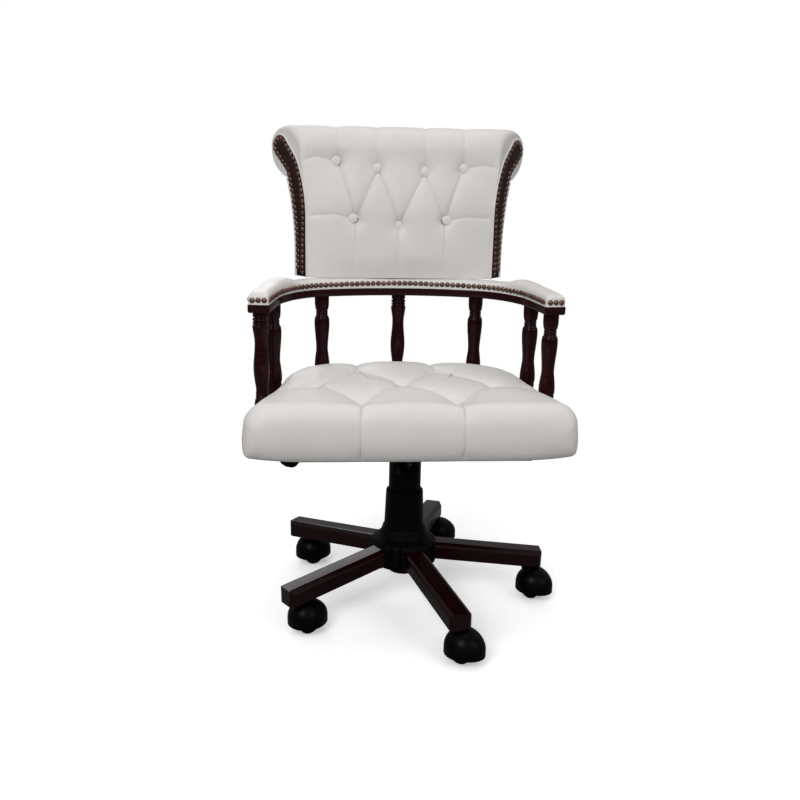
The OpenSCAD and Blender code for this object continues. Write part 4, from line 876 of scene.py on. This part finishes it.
def sweep(name, stations, section, material, replaced, angle):
    loops = []
    for s in stations:
        outs, zs = section(s)
        x, y = bowAt(np.full(len(outs), s), np.asarray(outs))
        loops.append(np.stack([x, y, zs], 1))
    faces = cappedFaces(len(loops), len(loops[0]))
    return piece(name, np.concatenate(loops), faces, "seat", material, replaced, angle)


def fullLength(ends, margin, count):
    # Places along the bow, with closer ones at both tips
    return np.concatenate([-bow["length"] + ends,
                           np.linspace(-bow["length"] + margin, bow["length"] - margin, count),
                           bow["length"] - ends[::-1]])


rail = {"under": 4, "over": 1.5}  # radii of the edges below and above


def railSection(s):
    inner, outer = -float(railIn(s)), float(railOut(s))
    end = min(bow["length"] - abs(s), 2)
    cut = (2 - end) * 0.5
    under, over = rail["under"], rail["over"]
    low, high = level["rail"] + under, level["pad"] - over
    outs, zs = [], []
    for cx, cz, r, start in ((outer - under, low, under, -90), (outer - over, high, over, 0),
                             (inner + over, high, over, 90), (inner + under, low, under, 180)):
        for a in np.radians(np.linspace(start, start + 90, 7)):
            outs.append(cx + (r - cut) * math.cos(a))
            zs.append(cz + (r - cut) * math.sin(a))
    return outs, zs


sweep("armRail", fullLength(np.array([0, 0.4, 1, 2]), 3, 260), railSection, woodAcross,
      ["arm_rail"], 35)

# Heights of the pad at the arms, the corners and the back, and the straight band that takes the nails
pad = {"inset": 1.5, "band": 15, "arm": 26, "corner": 31, "back": 20, "tipDrop": 3, "swell": 0.9}


def padSection(s):
    inner, outer = pad["inset"] - float(railIn(s)), float(railOut(s)) - pad["inset"]
    mid, wide = (inner + outer) / 2, (outer - inner) / 2
    end = bow["length"] - abs(s)
    rise = mix(pad["back"], pad["corner"], (abs(s) - 228) / 55)
    fall = (pad["corner"] - pad["arm"]) * soft((abs(s) - 290) / 60)
    height = float(rise - fall) - pad["tipDrop"] * float(soft((50 - end) / 50))
    shrink = float(quarter((end + 0.3) / 14))
    straight = pad["band"] - 3
    dome = (height - straight) * (0.35 + 0.65 * shrink)
    wide = wide - (1 - float(quarter((end + 1.2) / 5))) * 3
    wave = 0.25 * math.sin(s / 17.0) + 0.2 * math.sin(s / 7.3 + 1)
    outs, zs = [], []
    for t in np.linspace(0, 1, 8)[:-1]:
        outs.append(mid + wide - pad["swell"] * math.sin(math.pi * t) ** 2)
        zs.append(level["pad"] + t * straight)
    for a in np.radians(np.linspace(0, 180, 33)):
        cos, sin = math.cos(a), math.sin(a)
        outs.append(mid + wide * math.copysign(abs(cos) ** 0.62, cos))
        zs.append(level["pad"] + straight + dome * sin ** 0.72 + wave * sin)
    for t in np.linspace(1, 0, 8)[1:]:
        outs.append(mid - wide + pad["swell"] * math.sin(math.pi * t) ** 2)
        zs.append(level["pad"] + t * straight)
    return outs, zs


padEnds = np.array([0, 0.3, 0.8, 1.6, 2.8, 4.4, 6.4, 9, 12])
armPad = sweep("armPad", fullLength(padEnds, 15, 300), padSection, leather, ["arm_pad"], 60)

# Share of the radius and of the height, from the square-cut end that stands down or up
postShape = [(0.95, 0), (0.95, 0.06), (0.82, 0.07), (0.9, 0.08), (0.9, 0.1), (0.84, 0.11), (0.92, 0.12),
             (0.92, 0.14), (0.8, 0.15), (0.93, 0.16), (0.93, 0.18), (0.86, 0.185), (0.96, 0.2), (1, 0.235),
             (0.97, 0.29), (0.87, 0.36), (0.79, 0.41), (0.78, 0.43), (0.8, 0.48), (0.88, 0.56), (0.96, 0.63),
             (1, 0.69), (1, 0.72), (0.95, 0.76), (0.77, 0.79), (0.8, 0.8), (0.74, 0.81), (0.8, 0.825),
             (0.74, 0.835), (0.86, 0.86), (0.93, 0.9), (0.95, 0.93), (0.95, 1)]
upendedShape = [(0.92, 0), (0.92, 0.045), (0.8, 0.055), (0.95, 0.068), (0.95, 0.08), (0.8, 0.09), (0.95, 0.1),
                (0.95, 0.11), (0.85, 0.12), (1, 0.135), (0.97, 0.16), (0.88, 0.21), (0.79, 0.26), (0.77, 0.3),
                (0.79, 0.35), (0.87, 0.43), (0.95, 0.5), (0.97, 0.557), (0.94, 0.61), (0.84, 0.68),
                (0.74, 0.735), (0.72, 0.75), (0.72, 0.778), (0.77, 0.8), (0.72, 0.81), (0.8, 0.83),
                (0.74, 0.84), (0.85, 0.86), (0.93, 0.9), (0.95, 0.94), (0.95, 1)]
post = {"r": 16, "sides": 44, "at": [-420, -322, -168, 0, 168, 322, 420],
        "out": [4, 0, 0, 0, 0, 0, 4], "upended": [1, 0, 0, 1, 0, 0, 0]}


def smoothProfile(shape, count):
    r, z = np.array(shape).T
    at = np.linspace(0, len(shape) - 1, count)
    whole = np.arange(len(shape))
    slope = np.gradient(r)
    lowSide = np.clip(at.astype(int), 0, len(shape) - 2)
    t = at - lowSide
    a, b = r[lowSide], r[lowSide + 1]
    ma, mb = slope[lowSide] * 0.8, slope[lowSide + 1] * 0.8
    rr = ((2 * t ** 3 - 3 * t ** 2 + 1) * a + (t ** 3 - 2 * t ** 2 + t) * ma
          + (-2 * t ** 3 + 3 * t ** 2) * b + (t ** 3 - t ** 2) * mb)
    zz = np.interp(at, whole, z)
    return np.stack([np.minimum(rr, 1.0), zz], 1)


def makePosts():
    height = level["rail"] - level["post"]
    for n, (s, out, upended) in enumerate(zip(post["at"], post["out"], post["upended"])):
        shape = smoothProfile(upendedShape if upended else postShape, 190)
        p, f = lathe(shape * np.array([post["r"], height]), post["sides"])
        if upended:
            p[:, 2] = height - p[:, 2]
        x, y = bowAt(s, out)
        p = p + np.array([float(x), float(y), level["post"]])
        piece("turnedPost%d" % (n + 1), p, f, "seat", woodUpright, ["post_%d" % (n + 1)], 50)


makePosts()
print("arms made")


# Nails

nail = {"r": 5.5, "h": 3.2, "pitch": 11.4, "z": level["pad"] + 8.5, "backRise": 2}


def nailsAlong(out, side):
    # Equal steps along an edge that stands out from the bow, as places along the bow itself
    straight = bow["length"] - bow["backL"] - bow["cornerL"]
    line = np.cumsum([0, bow["backL"], bow["cornerL"], straight])
    edge = np.cumsum([0, bow["backL"] * (1 + out / bow["backR"]),
                      bow["cornerL"] * (1 + out / bow["cornerR"]), straight])
    n = int((edge[-1] - nail["pitch"] / 2) // nail["pitch"])
    places = []
    for i in range(-n, n + 1):
        s = float(np.interp(abs(i) * nail["pitch"], edge, line)) * (1 if i > 0 else -1)
        reach = (float(railOut(s)) if side > 0 else -float(railIn(s))) + side * (0.1 - pad["inset"])
        x, y = bowAt(s if s else 1e-6, reach)
        turn = float(bowAngle(s)) * (1 if s < 0 else -1)
        z = nail["z"] + nail["backRise"] * float(soft(1 - abs(s) / 220))
        places.append((float(x), float(y), z, turn + 90 * side))
    return places


def nailMesh(name, places, replaced):
    rng = np.random.default_rng(7)
    profile = [(1.0, -0.25), (1.0, 0.08), (0.97, 0.22), (0.9, 0.42), (0.78, 0.63), (0.6, 0.81),
               (0.38, 0.93), (0.04, 1.0)]
    parts = []
    for x, y, z, facing in places:
        p, f = lathe([(r * nail["r"] * 0.99, h * nail["h"]) for r, h in profile], 16)
        p = turned(p[:, [2, 0, 1]] * rng.uniform(0.97, 1.01), facing + rng.uniform(-4, 4))
        parts.append((p + np.array([x, y, z + rng.uniform(-0.35, 0.35)]), f))
    p, f = gather(parts)
    return piece(name, p, f, "seat", bronze, replaced, 60)


def makeNails():
    mid = (float(railOut(bow["length"])) - float(railIn(bow["length"]))) / 2
    places = nailsAlong(-21, -1) + nailsAlong(26, 1)
    for side in (-1, 1):
        for k in (-1, 0, 1):
            x, y = bowAt(side * bow["length"], mid + k * nail["pitch"])
            places.append((float(x), float(y) - 0.2, nail["z"], -90 + side * bow["flare"]))
    nailMesh("armNails", places, ["arm_nails"])

    # Up the front of a facing, round its head and down the rear
    line = [(alongFacing(coreFront(back["z"] + h)) + float(mix(12, 6.5, h / 240)), back["z"] + h)
            for h in np.arange(8, 239, 10)]
    line += headArc(np.arange(140, -61, -20), 6.5)
    line += [(64, back["z"] + 229), (54, back["z"] + 219), (49.5, back["z"] + 204)]
    line += [(alongFacing(coreRear(back["z"] + h)) - 5.6, back["z"] + h)
             for h in np.arange(190, 7, -14)]
    line = np.array(line)
    run = runOf(line)
    places = []
    for side in (-1, 1):
        for i in range(int(run[-1] // nail["pitch"]) + 1):
            at = min(i * nail["pitch"], run[-1])
            s, z = np.interp(at, run, line[:, 0]), np.interp(at, run, line[:, 1])
            p = onFacing(np.array([[s, z]]), 0.4, side)[0]
            places.append((p[0], p[1], z, -back["angle"] if side > 0 else 180 + back["angle"]))
    nailMesh("backNails", places, ["back_nails"])


makeNails()
print("nails made")


# Base: legs and caster hoods

legs = {"root": 38, "reach": 283, "w": 44, "t": 34, "slope": 6, "chamfer": 7, "corner": 7, "inset": 27,
        "round": 3.2, "flatArea": 8e-5,  # sides over this many square metres stay flat
        "dirs": [215, 287, 359, 71, 143], "turns": [30, -40, -45, 10, 25]}
caster = {"trail": 18, "r": 35.5, "nose": 7.5, "z": 30.1, "rim": 18, "wall": 3, "axle": 21, "web": 5,
          "bossZ": 42.5}
legSlope = math.radians(legs["slope"])
legs["under"] = (caster["z"] + caster["r"] / math.cos(legSlope) + caster["trail"] * math.tan(legSlope)
                 + 0.5)


def makeLeg(n):
    w, t, c = legs["w"] / 2, legs["t"], legs["chamfer"]
    stemR = legs["reach"] - legs["inset"]
    foot = legs["under"] + stemR * math.tan(legSlope)
    section = [(-w, 0), (w, 0), (w, t - c), (w - c, t), (c - w, t), (-w, t - c)]
    work = bmesh.new()
    rings = []
    for along in (10, legs["reach"] + 25):
        ring = []
        for a, b in section:
            x = along * math.cos(legSlope) + b * math.sin(legSlope)
            z = foot - along * math.sin(legSlope) + b * math.cos(legSlope)
            ring.append(work.verts.new((x, a, z)))
        rings.append(ring)
    for j in range(6):
        k = (j + 1) % 6
        work.faces.new((rings[0][j], rings[1][j], rings[1][k], rings[0][k]))
    work.faces.new(rings[0][::-1])
    work.faces.new(rings[1])
    inner = legs["reach"] - legs["corner"] - w
    cuts = [((legs["root"], 0, 0), (-1, 0, 0)), ((legs["reach"], 0, 0), (1, 0, 0))]
    for side in (-1, 1):
        a, b = Vector((legs["reach"], side * (w - legs["corner"]), 0)), Vector((inner, side * 2 * w, 0))
        d = b - a
        normal = Vector((abs(d.y), side * abs(d.x), 0)).normalized()
        cuts.append((tuple(a), tuple(normal)))
    for at, normal in cuts:
        whole = work.verts[:] + work.edges[:] + work.faces[:]
        bmesh.ops.bisect_plane(work, geom=whole, plane_co=at, plane_no=normal, clear_outer=True)
        open_ = [e for e in work.edges if len(e.link_faces) == 1]
        bmesh.ops.contextual_create(work, geom=open_)
    sharp = [e for e in work.edges if e.calc_face_angle(0) > 0.2]
    bmesh.ops.bevel(work, geom=sharp, offset=legs["round"], segments=4, profile=0.5, affect="EDGES")
    work.verts.ensure_lookup_table()
    points = np.array([tuple(v.co) for v in work.verts])
    faces = [tuple(v.index for v in f.verts) for f in work.faces]
    work.free()
    leg = piece("baseLeg%d" % (n + 1), turned(points, legs["dirs"][n]), faces, "base", legWoods[n],
                ["base_leg_%d" % (n + 1)], 40)
    for face in leg.data.polygons:
        if face.area > legs["flatArea"]:
            face.use_smooth = False


def hoodSurface(inset, low, rows=26, cols=72):
    r, nose = caster["r"] - inset, caster["nose"]
    points = []
    heights = [low + (caster["z"] - low) * t for t in np.linspace(0, 1, 6)[:-1]]
    for z in heights:
        points.append((r, z))
    for a in np.radians(np.linspace(0, 89.5, rows)):
        points.append((r * math.cos(a), caster["z"] + r * math.sin(a)))
    grid = []
    for rr, z in points:
        for phi in np.radians(np.arange(cols) * 360 / cols):
            x, y = rr * math.cos(phi), rr * math.sin(phi)
            x += nose * max(x / r, 0) ** 1.6 * (rr / r) ** 0.3
            y *= 1 - 0.05 * max(x / r, 0) ** 2
            grid.append((x + caster["trail"], y, z))
    return np.array(grid), len(points), cols


def makeHood(n):
    a = math.radians(legs["dirs"][n])
    stem = ((legs["reach"] - legs["inset"]) * math.cos(a), (legs["reach"] - legs["inset"]) * math.sin(a))
    outer, rows, cols = hoodSurface(0, caster["rim"])
    inner, rows2, _ = hoodSurface(caster["wall"], caster["rim"])
    start = len(outer)
    faces = gridFaces(rows, cols, True) + gridFaces(rows2, cols, True, start)
    faces += [(j, (j + 1) % cols, start + (j + 1) % cols, start + j) for j in range(cols)]
    faces.append(tuple(range((rows - 1) * cols, rows * cols)))
    faces.append(tuple(start + k for k in range((rows2 - 1) * cols, rows2 * cols)))
    parts = [(np.concatenate([outer, inner]), faces)]
    # Web between the wheels, rounded at its lower corners
    web = [(-16, 50), (-16, 30), (-9, 21), (-6, 13), (0, 11), (6, 13), (9, 21), (22, 26), (31, 36),
           (24, 52), (8, 61), (-6, 58)]
    half = caster["web"] / 2
    pts = [(x + caster["trail"], y, z) for y in (-half, half) for x, z in web]
    parts.append((np.array(pts), cappedFaces(2, len(web))))
    axle, f = lathe([(3, -15.4), (3, 15.4)], 24)
    parts.append((axle[:, [0, 2, 1]] + np.array([caster["trail"], 0, caster["axle"]]), f))
    boss, f = lathe([(9.5, caster["bossZ"]), (9.5, 64.6), (8.5, 65.5)], 36)
    parts.append((boss, f))
    p, f = gather(parts)
    p = turned(p, legs["turns"][n]) + np.array([stem[0], stem[1], 0])
    piece("casterHood%d" % (n + 1), p, f, "caster_%d" % (n + 1), hoodPlastic,
          ["caster_hood_%d" % (n + 1)], 40)


for n in range(5):
    makeLeg(n)
    makeHood(n)
print("base made")


# Studio: camera, lights, floor

studio = {
    "skyTop": 0.62, "skyLevel": 0.3, "skyBelow": 0.08,     # radiance of the world overhead, level and below
    "floorHalf": 9, "floorLift": 0.34, "whiteFrom": 1.1, "floorTone": 0.3,
    "key": 44, "fill": 15, "top": 6, "behind": 7,          # lamps, in watts
}


def look(name, eye, yaw, pitch, roll, lens):
    yaw, pitch, roll = (math.radians(v) for v in (yaw, pitch, roll))
    forward = Vector((math.sin(yaw) * math.cos(pitch), math.cos(yaw) * math.cos(pitch), -math.sin(pitch)))
    right = Vector((math.cos(yaw), -math.sin(yaw), 0))
    up = right.cross(forward)
    right, up = (right * math.cos(roll) + up * math.sin(roll), up * math.cos(roll) - right * math.sin(roll))
    data = bpy.data.cameras.new(name)
    data.lens, data.sensor_width, data.clip_end = lens, 36, 100
    camera = addObject(name, data)
    turn = Matrix((right, up, -forward)).transposed().to_4x4()
    turn.translation = Vector(eye)
    camera.matrix_world = turn
    return camera


bpy.context.scene.camera = look("photoCamera", (-0.153, -1.668, 0.874), 4.8, 15.3, 1.2, 40.14)


def areaLight(name, place, target, size, power):
    data = bpy.data.lights.new(name, "AREA")
    data.shape, data.size, data.energy = "DISK", size, power
    obj = addObject(name, data)
    obj.location = place
    obj.rotation_euler = (Vector(target) - Vector(place)).to_track_quat("-Z", "Y").to_euler()


areaLight("keyLight", (-1.3, -2.4, 2.2), (0, 0, 0.6), 1.5, studio["key"])
areaLight("fillLight", (1.8, -2.2, 1.9), (0, 0, 0.6), 1.5, studio["fill"])
areaLight("backLight", (-0.45, 1.9, 1.4), (-0.1, 0, 0.1), 0.9, studio["behind"])
areaLight("topLight", (0.1, 0.2, 2.6), (0, 0, 0.5), 1.3, studio["top"])


def makeSky():
    world = bpy.data.worlds.new("studioSky")
    bpy.context.scene.world = world
    world.use_nodes = True
    tree = world.node_tree
    tree.nodes.clear()
    kinds = ("OutputWorld", "Background", "Background", "MixShader", "LightPath", "TexCoord",
             "SeparateXYZ", "Math", "ValToRGB")
    out, seen, lit, choose, rays, place, split, half, ramp = (
        tree.nodes.new("ShaderNode" + kind) for kind in kinds)
    half.operation = "MULTIPLY_ADD"
    half.inputs[1].default_value, half.inputs[2].default_value = 0.5, 0.5
    ramp.color_ramp.elements.new(0.5)
    for element, at, tone in zip(ramp.color_ramp.elements, (0.38, 0.55, 0.85),
                                 (studio["skyBelow"], studio["skyLevel"], studio["skyTop"])):
        element.position, element.color = at, (tone, tone, tone, 1)
    links = [(place.outputs["Generated"], split.inputs[0]), (split.outputs["Z"], half.inputs[0]),
             (half.outputs[0], ramp.inputs[0]), (ramp.outputs[0], lit.inputs["Color"]),
             (rays.outputs["Is Camera Ray"], choose.inputs["Fac"]), (lit.outputs[0], choose.inputs[1]),
             (seen.outputs[0], choose.inputs[2]), (choose.outputs[0], out.inputs["Surface"])]
    for source, target in links:
        tree.links.new(source, target)
    seen.inputs["Color"].default_value = (1, 1, 1, 1)


makeSky()


def makeFloor():
    mesh = bpy.data.meshes.new("studioFloor")
    half = studio["floorHalf"]
    corners = [(-half, -half, 0), (half, -half, 0), (half, half, 0), (-half, half, 0)]
    mesh.from_pydata(corners, [], [(0, 1, 2, 3)])
    obj = addObject("studioFloor", mesh)
    s = Shader("paleFloor")
    clouds = s.noise(2, 3)
    tone = s.ramp(clouds, [(0.3, linear(250, 250, 250)), (0.7, linear(247, 247, 247))])
    s.set(Base_Color=tone, Roughness=0.9, Specular_IOR_Level=0.1)
    # Camera rays see a lifted floor that turns fully white away from the chair
    lift = s.add("ShaderNodeEmission", Strength=studio["floorLift"])
    lifted = s.add("ShaderNodeAddShader")
    s.link(s.base.outputs[0], lifted.inputs[0])
    s.link(lift.outputs[0], lifted.inputs[1])
    white = s.add("ShaderNodeEmission", Strength=1)
    away = s.add("ShaderNodeVectorMath", operation="LENGTH")
    s.link(s.place, away.inputs[0])
    fade = s.ramp(s.math("DIVIDE", away.outputs["Value"], studio["whiteFrom"]), [(0.35, 0.0), (1.0, 1.0)])
    near = s.add("ShaderNodeMixShader")
    s.link(fade, near.inputs[0])
    s.link(lifted.outputs[0], near.inputs[1])
    s.link(white.outputs[0], near.inputs[2])
    dull = s.add("ShaderNodeBsdfDiffuse")
    dull.inputs["Color"].default_value = (studio["floorTone"],) * 3 + (1,)
    rays = s.add("ShaderNodeLightPath")
    camera = s.add("ShaderNodeMixShader")
    s.link(rays.outputs["Is Camera Ray"], camera.inputs[0])
    s.link(dull.outputs[0], camera.inputs[1])
    s.link(near.outputs[0], camera.inputs[2])
    s.link(camera.outputs[0], s.nodes["Material Output"].inputs["Surface"])
    mesh.materials.append(s.material)


makeFloor()
bpy.context.scene.view_settings.view_transform = "Standard"

print("scene made")
